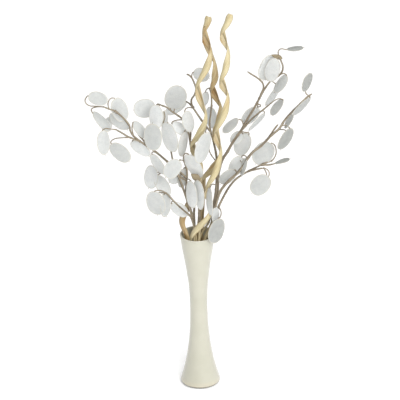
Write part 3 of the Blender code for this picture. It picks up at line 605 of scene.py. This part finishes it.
def stalk_way(stalk, start, depth, root, end):
    """A pod's stalk in the round: a smooth curve from its start on the twig, sunk a little into the pod.

    Its depth goes evenly from the start's to the depth of the pod's root.
    """
    knots = [(0, *start)]
    for i, (across, down) in enumerate(stalk[1:], 1):
        share = i / (len(stalk) - 1)
        knots.append((i, across, down, start[2] + (depth - start[2]) * share))
    if len(knots) == 2:
        knots.insert(1, tuple((p + q) / 2 for p, q in zip(*knots)))
    way = place(through(knots, np.linspace(0, knots[-1][0], STALK_KNOTS)))
    return np.concatenate([way, [root + unit(end - root) * STALK_SINKS]])


def grow_spray(name, waist, mouth, thickness, stem, twigs, pods, shades, husks=(), stout=1.2):
    """One spray: a mesh of its stem, twigs, stalks and husks, and a mesh of its pods.

    waist and mouth say where its stem passes them, in mm from the vase's axis, and thickness how thick it is
    there, in mm. stem and twigs are sketch points. A pod's row has its stalk's sketch points from twig to
    pod, its tip, the width that shows, in sketch steps, and how much further back than the twig it hangs.
    shades says how bright each pod is, 0 to 1: partly its own tone, partly painted light and shade. A husk's
    row has its start, end and width, in sketch steps, and its thickness as a share of the width. Above the
    mouth the stem is stout times as thick as in the vase, and slims from there to a twig.
    """
    draw = random.Random(name)
    rng = random.Random(name + " looks")
    base = thickness / 2 * MM
    levels = (FLOOR_THICKNESS + CLEARANCE, WAIST_HEIGHT, VASE_HEIGHT)
    inside = [(x * MM, y * MM, level) for (x, y), level in zip((waist, waist, mouth), levels)]
    knots = np.concatenate([inside, place(stem)])
    slimming = np.linspace(0, 1, len(stem)) ** STEM_SLIMMING
    radii = np.concatenate([[base] * len(inside), stout * base + (TWIG_TIP_RADIUS - stout * base) * slimming])
    # Each row of wood has a skin, its UV points and its kind.
    wood = [(*twig_skin(rng, knots, radii, sides=STEM_SIDES), "stem")]
    skins = []
    for twig in twigs:
        radii = np.linspace(TWIG_ROOT_RADIUS, TWIG_TIP_RADIUS, len(twig))
        wood.append((*twig_skin(rng, place(twig), radii), "twig"))
    for (stalk, tip, seen_width, behind), shade in zip(pods, shades):
        lean = draw.uniform(-1, 1) * POD_LEAN
        start = nearest_on([stem, *twigs], *stalk[0])
        depth = start[2] + behind
        root, end = place([(*stalk[-1], depth - lean / 2), (*tip, depth + lean / 2)])
        way = stalk_way(stalk, start, depth - lean / 2, root, end)
        wood.append((*twig_skin(rng, way, [STALK_RADIUS] * len(way), STALK_SIDES, STALK_STEP), "stalk"))
        beak = end + np.linspace(-BEAK_SUNK, 1, BEAK_KNOTS)[:, None] * BEAK * unit(end - root)
        wood.append((*twig_skin(rng, beak, [BEAK_RADIUS] * len(beak), BEAK_SIDES), "stalk"))
        skin, flat, wiry = pod_skin(rng, root, end, seen_width * SKETCH_STEP)
        skins.append((skin, flat, wiry, shade + rng.uniform(-POD_TONE, POD_TONE)))
    for start, end, width, thickness_share in husks:
        depth = nearest_on([stem, *twigs], *start)[2]
        a, b = place([(*start, depth), (*end, depth)])
        size = width * SKETCH_STEP
        wood.append((*husk_skin(a, b, size, size * thickness_share), "husk"))
    wood_tones = {
        "thin": [np.full(len(flat), THIN[kind]) for _, flat, kind in wood],
        "husk": [np.full(len(flat), float(kind == "husk")) for _, flat, kind in wood],
    }
    pod_tones = {
        "wiry": [wiry for _, _, wiry, _ in skins],
        "shade": [np.full(len(flat), shade) for _, flat, _, shade in skins],
    }
    made = [
        piece(name + "_twigs", [row[0] for row in wood], dried_stem, [row[1] for row in wood], wood_tones),
        piece(name + "_pods", [row[0] for row in skins], honesty_skin, [row[1] for row in skins], pod_tones),
    ]
    for part in made:
        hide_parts(name)


# Dried stem: a woody taupe rind with darker streaks along it. The stalks are paler, and the husks browner.
tree, dried_stem = new_finish("dried_honesty_stem")
flat = add(tree, "UVMap", uv_map="flat").outputs["UV"]
thin, husk = [add(tree, "Attribute", attribute_name=tone).outputs["Fac"] for tone in ("thin", "husk")]
where = add(tree, "TexCoord").outputs["Object"]
height = add(tree, "SeparateXYZ", {"Vector": where}).outputs["Z"]
# The streaks are 0.7 mm wide and 40 mm long. The mottles are 3 mm wide and 8 mm long.
streaks = (1 / (0.7143 * MM), 1 / (40 * MM), 1.0)
streak_at = add(tree, "Mapping", {"Vector": flat, "Scale": streaks}).outputs["Vector"]
streak = add(tree, "TexNoise", {"Vector": streak_at, "Scale": 1.0, "Detail": 3.0}).outputs["Fac"]
mottles = (1 / (3.333 * MM), 1 / (8.333 * MM), 1.0)
mottle_at = add(tree, "Mapping", {"Vector": flat, "Scale": mottles}).outputs["Vector"]
mottle = add(tree, "TexNoise", {"Vector": mottle_at, "Scale": 1.0, "Detail": 2.0}).outputs["Fac"]
# Over the dark streaks come the rind between them, the mottles and the paler thin stalks. Then comes the pale
# wood from 28 mm above the mouth down into the vase, partly scraped bare and partly painted light, and last
# the browner husks.
rind = paint(tree, linear("#63584A"), [
    (streak, 0.42, 0.6, 1.0, "#A79B86"),
    (mottle, 0.55, 0.7, 0.5, "#5F523E"),
    (thin, 0.0, 1.0, 0.5, "#948874"),
    # Partly painted light: the stems are paler from 28 mm above the mouth down, lighting the shaded mouth.
    (height, VASE_HEIGHT + 28 * MM, VASE_HEIGHT - 2 * MM, 0.9, "#E3D3A9"),
    (husk, 0.0, 1.0, 0.8, "#93856A"),
])
bark = add(tree, "Bump", {"Height": streak, "Strength": 0.6, "Distance": 0.3 * MM}).outputs["Normal"]
stem_skin = add(tree, "BsdfPrincipled", {"Base Color": rind, "Roughness": 0.7, "Normal": bark, "IOR": 1.45})
add(tree, "OutputMaterial", {"Surface": stem_skin.outputs["BSDF"]})

# Honesty skin: a satin, half see-through paper, pale as mother of pearl, with faint veins and a straw rim.
tree, honesty_skin = new_finish("silvery_honesty_skin")
flat = add(tree, "UVMap", uv_map="flat").outputs["UV"]
wiry, shade = [add(tree, "Attribute", attribute_name=tone).outputs["Fac"] for tone in ("wiry", "shade")]
# The clouds are 11 mm wide, the meshes of the net of veins 4 mm, and the creases 17 mm long and 2.4 mm apart.
cloud = add(tree, "TexNoise", {"Vector": flat, "Scale": 1 / (11.11 * MM), "Detail": 3.0}).outputs["Fac"]
veins = {"Vector": flat, "Scale": 1 / (4 * MM)}
net = add(tree, "TexVoronoi", veins, feature="DISTANCE_TO_EDGE").outputs["Distance"]
vein = add(tree, "MapRange", {"Value": net, "From Max": 0.09, "To Min": 1.0, "To Max": 0.0}).outputs["Result"]
creases = (1 / (16.67 * MM), 1 / (2.381 * MM), 1.0)
crease_at = add(tree, "Mapping", {"Vector": flat, "Scale": creases}).outputs["Vector"]
crease = add(tree, "TexNoise", {"Vector": crease_at, "Scale": 1.0, "Detail": 3.0}).outputs["Fac"]
dim = paint(tree, linear("#B4B6B3"), [(cloud, 0.35, 0.65, 1.0, "#BEC0BC")])
pearl = paint(tree, linear("#F2F4F4"), [(cloud, 0.35, 0.65, 1.0, "#FAFBFA")])
# Each pod's shade mixes dim and pearl paper: partly the pod's own tone, partly painted light and shade.
paper = add(tree, "Mix", {0: shade, 6: dim, 7: pearl}, data_type="RGBA").outputs[2]
paper = paint(tree, paper, [(vein, 0.0, 1.0, 0.16, "#B4B2A4"), (wiry, 0.2, 1.0, 0.55, "#CFC8B4")])
relief = add(tree, "Math", {0: crease, 1: vein}, operation="ADD").outputs["Value"]
crinkled = add(tree, "Bump", {"Height": relief, "Strength": 0.35, "Distance": 0.25 * MM}).outputs["Normal"]
front = add(tree, "BsdfPrincipled", {"Base Color": paper, "Roughness": 0.42, "Normal": crinkled, "IOR": 1.45})
behind = add(tree, "BsdfTranslucent", {"Color": paper, "Normal": crinkled})
thinned = {"Value": wiry, "From Min": 0.2, "To Min": 0.38, "To Max": 0.1}
see_through = add(tree, "MapRange", thinned).outputs["Result"]
skin = add(tree, "MixShader", {0: see_through, 1: front.outputs["BSDF"], 2: behind.outputs["BSDF"]})
add(tree, "OutputMaterial", {"Surface": skin.outputs["Shader"]})

# The long spray that leans furthest left: a low arching stem, forked three ways, with eleven pods in front.
FAR_LEFT_STEM = [
    (193.5, 222, -5), (191.7, 214.5, -7), (188.7, 204.5, -9), (185, 193, -11), (181, 182, -14),
    (177, 172, -18), (171, 164.5, -22), (164, 158, -27), (155.5, 151, -33), (148, 146, -37),
    (140.5, 141, -41), (134, 138.5, -44), (129.5, 136.8, -46), (123, 133, -48), (117, 129.5, -50),
]
FAR_LEFT_TWIGS = [
    [(140.5, 141, -41), (138, 139, -42), (133.5, 135, -43), (130.7, 130, -43), (130.3, 126.5, -43),
     (127, 121.5, -44), (122, 116, -45), (116, 111, -46), (110, 109.2, -47), (105, 107, -48)],
    [(148, 146, -37), (143.5, 139.5, -35), (138, 133.5, -33)],
]
FAR_LEFT_PODS = [
    ([(105, 107), (97, 106.3), (90.5, 105.8), (86.8, 103), (86.5, 99), (89.5, 96)], (108.5, 101.5), 13.5, -4),
    ([(105, 107), (99, 106.8), (94, 107.8), (92.2, 110), (93.5, 113)], (111, 129.5), -9.5, 6),
    ([(116, 111), (112, 114), (110, 117)], (108.5, 130), 8, 12),
    ([(110, 109), (108.8, 104), (110.5, 99.5), (113, 98), (115.5, 98.5)], (125, 120.8), -16.5, 6),
    ([(122, 116), (117, 113), (112.5, 113)], (127.8, 129.5), 13, 5),
    ([(117, 129.5), (111, 128.8), (106, 128.4), (102.8, 130.2)], (105.8, 154), -13, -3),
    ([(130, 137), (122, 137.4), (115.5, 138.3), (111.5, 141), (111.8, 143.2)], (129.4, 160.7), 15, 4),
    ([(134, 135.5), (132.5, 128), (133.5, 121.5)], (146, 136.5), -9.5, 12),
    ([(138, 139.5), (134.5, 139.2), (132.5, 140.5)], (149, 155.5), 11, 10),
    ([(157, 152.3), (155, 151.5), (153.5, 150)], (152.8, 123.3), -18, -12),
    ([(156.5, 151.8), (153.5, 151.3), (152, 152), (152.3, 153.5)], (164.5, 174), 9.5, -4),
    # On the far side
    ([(116, 111), (118, 108), (120, 106)], (123.5, 118), 6, 24),
    ([(150, 147.2), (151, 142), (152, 140)], (153, 126.5), 7, 20),
]
FAR_LEFT_SHADES = [0.3, 0.65, 0.6, 0.5, 0.6, 0.5, 0.4, 0.5, 0.8, 0.4, 0.7, 0.6, 0.6]
grow_spray("honesty_far_left", (-6.5, -1.5), (-3, -4), 3.8, FAR_LEFT_STEM, FAR_LEFT_TWIGS,
           FAR_LEFT_PODS, FAR_LEFT_SHADES)

# The steeper stem beside it, with two long side twigs.
SIDE_LEFT_STEM = [
    (194.5, 222, 1), (192, 213, -2), (189, 203, -5), (186, 191, -7), (186.5, 180, -7), (186.7, 168, -7),
    (184.6, 162, -8), (183.5, 158, -9),
]
SIDE_LEFT_TWIGS = [
    [(186.5, 180, -7), (180, 176, -8), (170, 173.5, -13), (160.5, 172.5, -20)],
    [(186.6, 177, -7), (181, 172, -9), (175.5, 166.5, -10), (173, 160, -10), (171, 150, -8), (168.8, 141, -6),
     (165.8, 130, -4), (163, 123, -2)],
]
SIDE_LEFT_PODS = [
    ([(183.5, 158), (183.8, 154.5), (186, 152.5), (188.5, 153.5)], (199, 177), 14, -8),
    ([(184.6, 162), (182.5, 159.5), (179.5, 159.8)], (166, 176.5), -16, -46),
    ([(180, 176), (181, 173), (180.5, 171.5)], (169.5, 181.5), 12, 8),
    ([(186.7, 168), (185, 166.5), (183.8, 167.5)], (182, 186.5), -10, 8),
    ([(165.8, 130), (165.3, 125), (168.3, 122)], (171.3, 151), 15.5, -14),
    ([(163, 123), (165, 117), (164, 110.5)], (164.8, 127.5), -7, 13),
    ([(160.5, 172.5), (158.5, 168), (153.5, 165.3)], (148.8, 187), 14.5, 4),
    ([(160.5, 172.5), (158, 174), (155.5, 176)], (170, 194), -13, 4),
    ([(187, 178), (189, 178.5), (191, 180)], (192, 207), 11, -22),
    # On the far side
    ([(168.8, 141), (169, 137), (169, 134)], (170, 148.5), 6, 20),
    ([(160.5, 172.5), (157, 171), (154.5, 170)], (151.5, 184.5), 6, 24),
]
SIDE_LEFT_SHADES = [1.0, 0.4, 0.8, 0.8, 1.0, 0.8, 0.9, 0.8, 1.0, 0.7, 0.7]
grow_spray("honesty_side_left", (-6, 3.5), (-4.5, 3), 3.4, SIDE_LEFT_STEM, SIDE_LEFT_TWIGS,
           SIDE_LEFT_PODS, SIDE_LEFT_SHADES)

# The spray behind, up and left, that ends in two large pods.
UPPER_LEFT_STEM = [
    (194.5, 222, 17), (194, 212, 21), (195, 200, 25), (197, 185, 27), (197, 172, 27), (195, 159, 26),
    (192, 152, 25), (190, 140, 22), (188.2, 130.5, 19), (185.5, 124, 18), (183, 119, 17), (178, 115, 17),
    (172, 111, 17), (167, 107, 16), (160, 104.3, 15),
]
UPPER_LEFT_TWIGS = [
    [(190, 139, 22), (190.8, 133, 24), (190.5, 129, 26)],
]
UPPER_LEFT_PODS = [
    ([(160, 104.3), (158.3, 104.2), (157, 104.5)], (155.5, 128), 14.5, -16),
    ([(163, 105.3), (158, 103.3), (155.5, 106)], (133.8, 109.3), -19, 20),
    ([(172, 111), (170.5, 110), (170.5, 108)], (181, 86), 21.5, 8),
    ([(183, 119), (177, 119.5), (172.5, 121), (171.8, 123)], (188, 132.5), -11, 10),
    ([(188, 130.3), (186.5, 128.5), (184, 131)], (182.3, 155), -9, -4),
    # On the far side
    ([(174, 112.2), (174.5, 108), (175, 105)], (178.5, 90), 8, 13),
    ([(160, 104.3), (158.5, 106), (158, 108)], (157.3, 124.5), -5, 24),
]
UPPER_LEFT_SHADES = [0.9, 0.7, 0.6, 1.0, 0.9, 0.6, 0.6]
grow_spray("honesty_upper_left", (-2.5, 7.4), (-5, 13), 3.6, UPPER_LEFT_STEM, UPPER_LEFT_TWIGS,
           UPPER_LEFT_PODS, UPPER_LEFT_SHADES)

# The short spray that leans out low on the left, towards the front.
LOW_LEFT_STEM = [
    (193, 222, -14), (190, 215, -17), (186, 211.5, -21), (178, 204.5, -30), (170, 196, -40),
    (167, 192.5, -44),
]
LOW_LEFT_PODS = [
    ([(167, 192.5), (162, 190), (157.5, 189.6), (154.5, 190.5)], (157.5, 214), 18.5, -2),
    ([(168, 193.7), (165, 192.3), (164, 193.5)], (166.5, 215.5), -11, 1),
    ([(174.5, 200.5), (172, 200.6), (171.5, 203)], (187.5, 214.5), 12.5, 26),
    # On the far side
    ([(167, 192.5), (160, 191.5), (156, 193.5)], (157, 211.5), 6, 22),
]
LOW_LEFT_SHADES = [0.5, 0.5, 0.8, 0.5]
grow_spray("honesty_low_left", (-4.6, -6), (-6.5, -12), 3.2, LOW_LEFT_STEM, [],
           LOW_LEFT_PODS, LOW_LEFT_SHADES)

# The tall spray in the middle, behind the canes.
CENTRE_STEM = [
    (208.3, 222, 4), (211.7, 210, 4), (214.5, 198, 7), (216.2, 186, 9), (216.6, 170, 12), (216.3, 155, 16),
    (215, 147.5, 19), (213, 139, 22), (211, 132, 25), (207, 126.5, 27), (202, 120, 29), (197, 113, 31),
    (193, 107, 33), (189.5, 103, 34), (186.3, 100.7, 35),
]
CENTRE_TWIGS = [
    [(211.6, 134, 24), (209.5, 124, 30), (210.5, 114, 34), (211.5, 104, 36), (211, 93, 36),
     (209.5, 87.5, 36)],
    [(193, 107, 33), (191.4, 102.5, 33), (191.6, 98.5, 34), (194, 95, 35), (196, 89, 36), (194, 82, 37),
     (191.5, 77, 38), (189.3, 74.8, 38), (186.5, 73.6, 39)],
]
CENTRE_PODS = [
    ([(188, 101.7), (186.5, 100.7)], (166, 112), 11.5, 5),
    ([(193, 107.3), (188.5, 107), (185.5, 108.5), (184.5, 111.5)], (192, 130), -12.5, -15),
    ([(191.7, 77), (192, 73.5), (193.5, 71)], (209, 77.5), 13.5, 6),
    ([(209.5, 87.5), (207, 88.3), (205.2, 91)], (205.5, 104.3), -7.5, 6),
    ([(211.5, 104), (212.2, 105), (211.8, 106.5)], (210.5, 127), 11.5, 6),
    ([(216, 161), (210, 152), (208.5, 142), (205.3, 132)], (200.5, 162), -14.5, -46),
    ([(216, 184), (212, 183.5), (209.8, 187)], (209.8, 214.5), 6.5, -42),
    # On the far side
    ([(207, 126.5), (205.5, 131), (205, 137)], (202.5, 156), 5, 30),
]
CENTRE_SHADES = [0.9, 1.0, 0.5, 0.8, 0.7, 0.7, 0.9, 0.6]
grow_spray("honesty_centre", (1, 3), (11, 7), 3.8, CENTRE_STEM, CENTRE_TWIGS,
           CENTRE_PODS, CENTRE_SHADES)

# The short thick stem at the mouth, with a husk still on it.
LOW_CENTRE_STEM = [
    (199.8, 226, -10), (199.3, 215, -12), (199, 205, -14), (199, 192, -18), (197.7, 178.2, -22),
]
LOW_CENTRE_PODS = [
    ([(198.8, 184), (200, 181.2), (199, 180)], (199, 208), 10.5, -12),
]
LOW_CENTRE_SHADES = [1.0]
LOW_CENTRE_HUSKS = [((200.1, 179.5), (190.7, 173), 7, 0.6)]
grow_spray("honesty_low_centre", (0.8, -6.7), (4, -11), 4.6, LOW_CENTRE_STEM, [],
           LOW_CENTRE_PODS, LOW_CENTRE_SHADES, LOW_CENTRE_HUSKS)

# The tall spray on the right, with the largest pod at its top.
RIGHT_UPPER_STEM = [
    (211.8, 222, 8), (214, 210, 13), (216, 200, 15), (217.4, 190, 17), (217.7, 180, 18), (218.8, 170, 19),
    (220.6, 163, 20), (223.5, 156.5, 20), (227, 151.5, 21), (230, 146, 22), (235, 138, 24),
    (240.5, 130.5, 26), (244, 124.5, 27), (249, 115.5, 29), (254, 107.5, 31), (258, 100, 33),
    (262, 92.5, 35), (266, 86, 36), (270, 80.5, 37), (272.8, 75.5, 38),
]
RIGHT_UPPER_TWIGS = [
    [(240.5, 130.5, 26), (245, 125.8, 24), (250, 120, 22), (256, 114.5, 20), (260, 111.3, 19),
     (264, 108.3, 18), (270, 103.3, 17)],
    [(270, 80.5, 37), (274.5, 78, 36), (279.5, 74.3, 35), (282.3, 70, 34), (282.5, 65.5, 34),
     (281, 61.5, 34), (279.3, 57.8, 34)],
    [(259, 98, 33), (261.3, 92.5, 30), (263.2, 87.5, 28), (262.5, 83, 26), (259.5, 79.5, 25),
     (254.5, 76, 24), (250, 73.3, 23), (247.3, 71.5, 22)],
]
RIGHT_UPPER_PODS = [
    ([(279.3, 57.8), (278.3, 58), (277.2, 59.2)], (267.3, 80), 15.5, -6),
    ([(278.8, 57), (277.8, 53), (278.5, 50), (281, 48.6), (286.5, 49.6)], (302.8, 47.3), -5, 4),
    ([(279.5, 74.3), (283.7, 73), (287, 75.2)], (274.2, 91.7), 9.5, -4),
    ([(270.5, 80), (275, 83), (277.5, 87)], (266.3, 105.5), -6.5, 8),
    ([(270, 103.3), (275, 99.5), (279.5, 98.2), (283.2, 99.6)], (270.3, 113.3), 8.5, 3),
    ([(256, 104), (259.5, 103.8), (260.5, 105.5), (257.5, 106.5)], (243.5, 123), -13, 9),
    ([(243.5, 125.3), (242.3, 121), (240.5, 119), (238.3, 118.8)], (222.8, 131), 9, -4),
    ([(261, 110.6), (263.5, 110.3), (264.3, 112.8)], (248.8, 130), -4.5, -6),
    ([(241, 131), (245, 131.5), (248.5, 131.8), (249, 134)], (236.3, 153), 16.5, 7),
    ([(240.5, 130.5), (242, 130.6), (242, 131.5)], (231.5, 142.5), -11.5, 9),
    ([(279.3, 57.8), (275.5, 55.2), (272.6, 54.8)], (263, 79.8), -17.5, 8),
    # On the far side
    ([(240.5, 130.5), (244, 134), (247, 138)], (239.5, 150.5), -6, 26),
    ([(258, 100), (257.5, 106), (256, 110)], (246, 123), -5, 26),
]
RIGHT_UPPER_SHADES = [0.9, 0.1, 0.6, 0.6, 0.5, 0.6, 0.55, 0.6, 0.9, 0.8, 0.8, 0.6, 0.6]
RIGHT_UPPER_HUSKS = [((282.3, 58.5), (270.5, 54.5), 5, 0.7)]
grow_spray("honesty_right_upper", (6.2, 4.2), (20, 5), 4.4, RIGHT_UPPER_STEM, RIGHT_UPPER_TWIGS,
           RIGHT_UPPER_PODS, RIGHT_UPPER_SHADES, RIGHT_UPPER_HUSKS, stout=1.4)

# The long straight spray on the right, towards the front.
RIGHT_MAIN_STEM = [
    (213.5, 222, -13), (214.5, 210, -15), (216.8, 200, -18), (220, 191, -21), (225, 184, -24),
    (230, 179, -27), (236, 173.5, -30), (243, 165.5, -33), (248, 157, -36), (253, 151, -38),
    (260, 146, -40), (266, 140, -42), (272, 134, -44), (278, 129, -45), (284, 120, -47), (290, 113, -48),
    (297, 106, -49), (303, 100, -50), (308, 95.8, -50), (311, 94, -50),
]
RIGHT_MAIN_TWIGS = [
    [(266, 140, -42), (270, 134.5, -40), (274, 128.5, -38), (277.5, 124, -37)],
]
RIGHT_MAIN_PODS = [
    ([(247, 158.5), (245.5, 155.5), (243, 154.8), (241.5, 156)], (231.5, 174), 14.5, 22),
    ([(236, 173.5), (236, 170), (234, 168.8)], (221, 183), -12.5, 10),
    ([(250, 155), (248.5, 156.5), (246.3, 158.5)], (240.3, 174.5), 6, 2),
    ([(280, 126.5), (282.5, 125), (286, 125.2), (289.3, 128)], (280.5, 149), -11, 4),
    ([(307.5, 96), (305.3, 94.3), (304.2, 91.6)], (307.6, 74), 9, -4),
    ([(307, 97), (308.9, 96.5), (308.3, 97.5)], (293, 115.3), -6, 4),
    ([(294, 109.5), (294.3, 112.3), (292.8, 114.5)], (283.8, 127), 5.5, 6),
    ([(215.5, 205), (214.8, 205.3), (215, 206.5)], (216.1, 225), -7.5, -6),
    # On the far side
    ([(243, 165.5), (241, 161), (239, 159)], (232.5, 171), 6, 26),
    ([(278, 129), (284, 129.5), (287.5, 131.5)], (281.5, 146.5), -5, 22),
]
RIGHT_MAIN_SHADES = [0.6, 0.3, 0.4, 0.0, 0.0, 0.3, 0.4, 0.6, 0.4, 0.3]
grow_spray("honesty_right_main", (6, -6), (18, -13), 4.0, RIGHT_MAIN_STEM, RIGHT_MAIN_TWIGS,
           RIGHT_MAIN_PODS, RIGHT_MAIN_SHADES, stout=1.4)

# The short arching spray on the right, with two round pods at its end.
RIGHT_LOW_STEM = [
    (213.8, 222, -4), (216, 212, -5), (219, 205, -6), (224, 195, -9), (230, 185, -12), (236, 178.3, -15),
    (242, 174, -17), (248.5, 170.3, -19), (253, 168, -21), (258, 165.6, -23), (262.5, 163.3, -24),
]
RIGHT_LOW_TWIGS = [
    [(262.5, 163.3, -24), (266, 161.8, -24), (271, 160.5, -23)],
    [(261, 164, -24), (268, 164.3, -27), (273.5, 163.2, -30)],
    [(248.5, 170.3, -19), (254, 169, -23), (259, 168, -26), (263.5, 167.3, -28)],
]
RIGHT_LOW_PODS = [
    ([(271, 160.5), (273.8, 157.5), (275.8, 152.5), (275.3, 147), (273.5, 143.5), (270.5, 142.5)],
     (255.5, 163), 20, 2),
    ([(273.5, 163.2), (274.3, 162.9)], (289.3, 158.2), -4.2, 0),
    ([(263.5, 167.3), (267, 168.8), (269, 172), (268.3, 175.8)], (252, 192.3), 18.5, -4),
    ([(218.5, 206), (221, 210.5), (220.5, 215.5), (218.3, 217.8)], (214.6, 242.3), -15.5, -20),
    # On the far side
    ([(266, 161.8), (267, 155), (266, 148)], (256.5, 159.5), 7, 22),
    ([(263.5, 167.3), (266, 172), (267, 178)], (255, 191.5), 6, 20),
]
RIGHT_LOW_SHADES = [0.5, 0.0, 0.4, 0.2, 0.4, 0.4]
grow_spray("honesty_right_low", (8, -0.5), (22, -4), 3.6, RIGHT_LOW_STEM, RIGHT_LOW_TWIGS,
           RIGHT_LOW_PODS, RIGHT_LOW_SHADES)

# Stage
# A plain white table, faintly lit from below, under soft studio light: one large soft lamp in front, a little
# to the right, and a broad sky panel above.
FLOOR_REACH = 12.0
FLOOR_GLOW = 0.14
WORLD_LIGHT = 0.19
# The point that the lamp and the camera face, and the way from there to the lamp.
MIDDLE = np.array([0.0072, 0.0, 0.4119])
KEY_LAMP_WAY = np.array([0.25, -1.0, 0.62])
KEY_LAMP_DISTANCE = 3.2
KEY_LAMP_SIZE = 1.4
KEY_LAMP_WATTS = 61
# The way that the sky panel's light falls.
SKY_PANEL_WAY = (-0.24, 0.3, -1.0)
SKY_PANEL_HEIGHT = 3.0
SKY_PANEL_ANGLE = math.radians(100)
SKY_PANEL_STRENGTH = 2.3
CAMERA_DISTANCE = 20.0
CAMERA_SENSOR = 36
FRAME_PIXELS = 400

# White lacquer: matt, with a very faint light of its own, so that it stays white under the vase.
tree, white_lacquer = new_finish("matt_white_lacquer")
lacquer = {"Base Color": linear("#FDFDFD"), "Roughness": 0.9}
glow = {"Emission Color": linear("#FFFFFF"), "Emission Strength": FLOOR_GLOW}
table_top = add(tree, "BsdfPrincipled", {**lacquer, **glow})
add(tree, "OutputMaterial", {"Surface": table_top.outputs["BSDF"]})
corners = [(x * FLOOR_REACH, y * FLOOR_REACH, 0) for x, y in ((-1, -1), (1, -1), (1, 1), (-1, 1))]
floor_mesh = bpy.data.meshes.new("floor")
floor_mesh.from_pydata(corners, [], [(0, 1, 2, 3)])
floor_mesh.materials.append(white_lacquer)
floor = bpy.data.objects.new("floor", floor_mesh)
bpy.context.scene.collection.objects.link(floor)

world = bpy.data.worlds.new("studio")
world.use_nodes = True
world.node_tree.nodes["Background"].inputs["Color"].default_value = linear("#FFFFFF")
world.node_tree.nodes["Background"].inputs["Strength"].default_value = WORLD_LIGHT
bpy.context.scene.world = world

key_light = bpy.data.lights.new("key_lamp", "AREA")
key_light.size = KEY_LAMP_SIZE
key_light.energy = KEY_LAMP_WATTS
key_lamp = bpy.data.objects.new("key_lamp", key_light)
key_lamp.location = MIDDLE + KEY_LAMP_DISTANCE * unit(KEY_LAMP_WAY)
key_lamp.rotation_euler = Vector(-KEY_LAMP_WAY).to_track_quat("-Z", "Y").to_euler()
bpy.context.scene.collection.objects.link(key_lamp)

# The wide overhead light keeps the floor white: a sky panel so broad that its shadows all but vanish.
sky_light = bpy.data.lights.new("sky_panel", "SUN")
sky_light.angle = SKY_PANEL_ANGLE
sky_light.energy = SKY_PANEL_STRENGTH
sky_panel = bpy.data.objects.new("sky_panel", sky_light)
sky_panel.location = (0.0, 0.0, SKY_PANEL_HEIGHT)
sky_panel.rotation_euler = Vector(SKY_PANEL_WAY).to_track_quat("-Z", "Y").to_euler()
bpy.context.scene.collection.objects.link(sky_panel)

# The camera looks along +Y from 28 degrees above, from so far off that the view is nearly parallel, with a
# slight roll. At the object's distance the frame's 400 pixels take in 400 sketch steps.
camera_data = bpy.data.cameras.new("camera")
camera_data.sensor_width = CAMERA_SENSOR
camera_data.lens = CAMERA_SENSOR * CAMERA_DISTANCE / (FRAME_PIXELS * SKETCH_STEP)
camera_data.clip_end = 5 * CAMERA_DISTANCE
camera = bpy.data.objects.new("camera", camera_data)
look = np.array([0, math.cos(SIGHT_ANGLE), -math.sin(SIGHT_ANGLE)])
level_up = np.array([0, math.sin(SIGHT_ANGLE), math.cos(SIGHT_ANGLE)])
right = math.cos(SKETCH_TURN) * np.array([1, 0, 0]) - math.sin(SKETCH_TURN) * level_up
upright = math.sin(SKETCH_TURN) * np.array([1, 0, 0]) + math.cos(SKETCH_TURN) * level_up
standpoint = MIDDLE - CAMERA_DISTANCE * look
turned = np.column_stack([right, upright, -look, standpoint])
camera.matrix_world = Matrix(np.vstack([turned, [0, 0, 0, 1]]).tolist())
bpy.context.scene.collection.objects.link(camera)
bpy.context.scene.camera = camera
bpy.context.scene.view_settings.view_transform = "Standard"
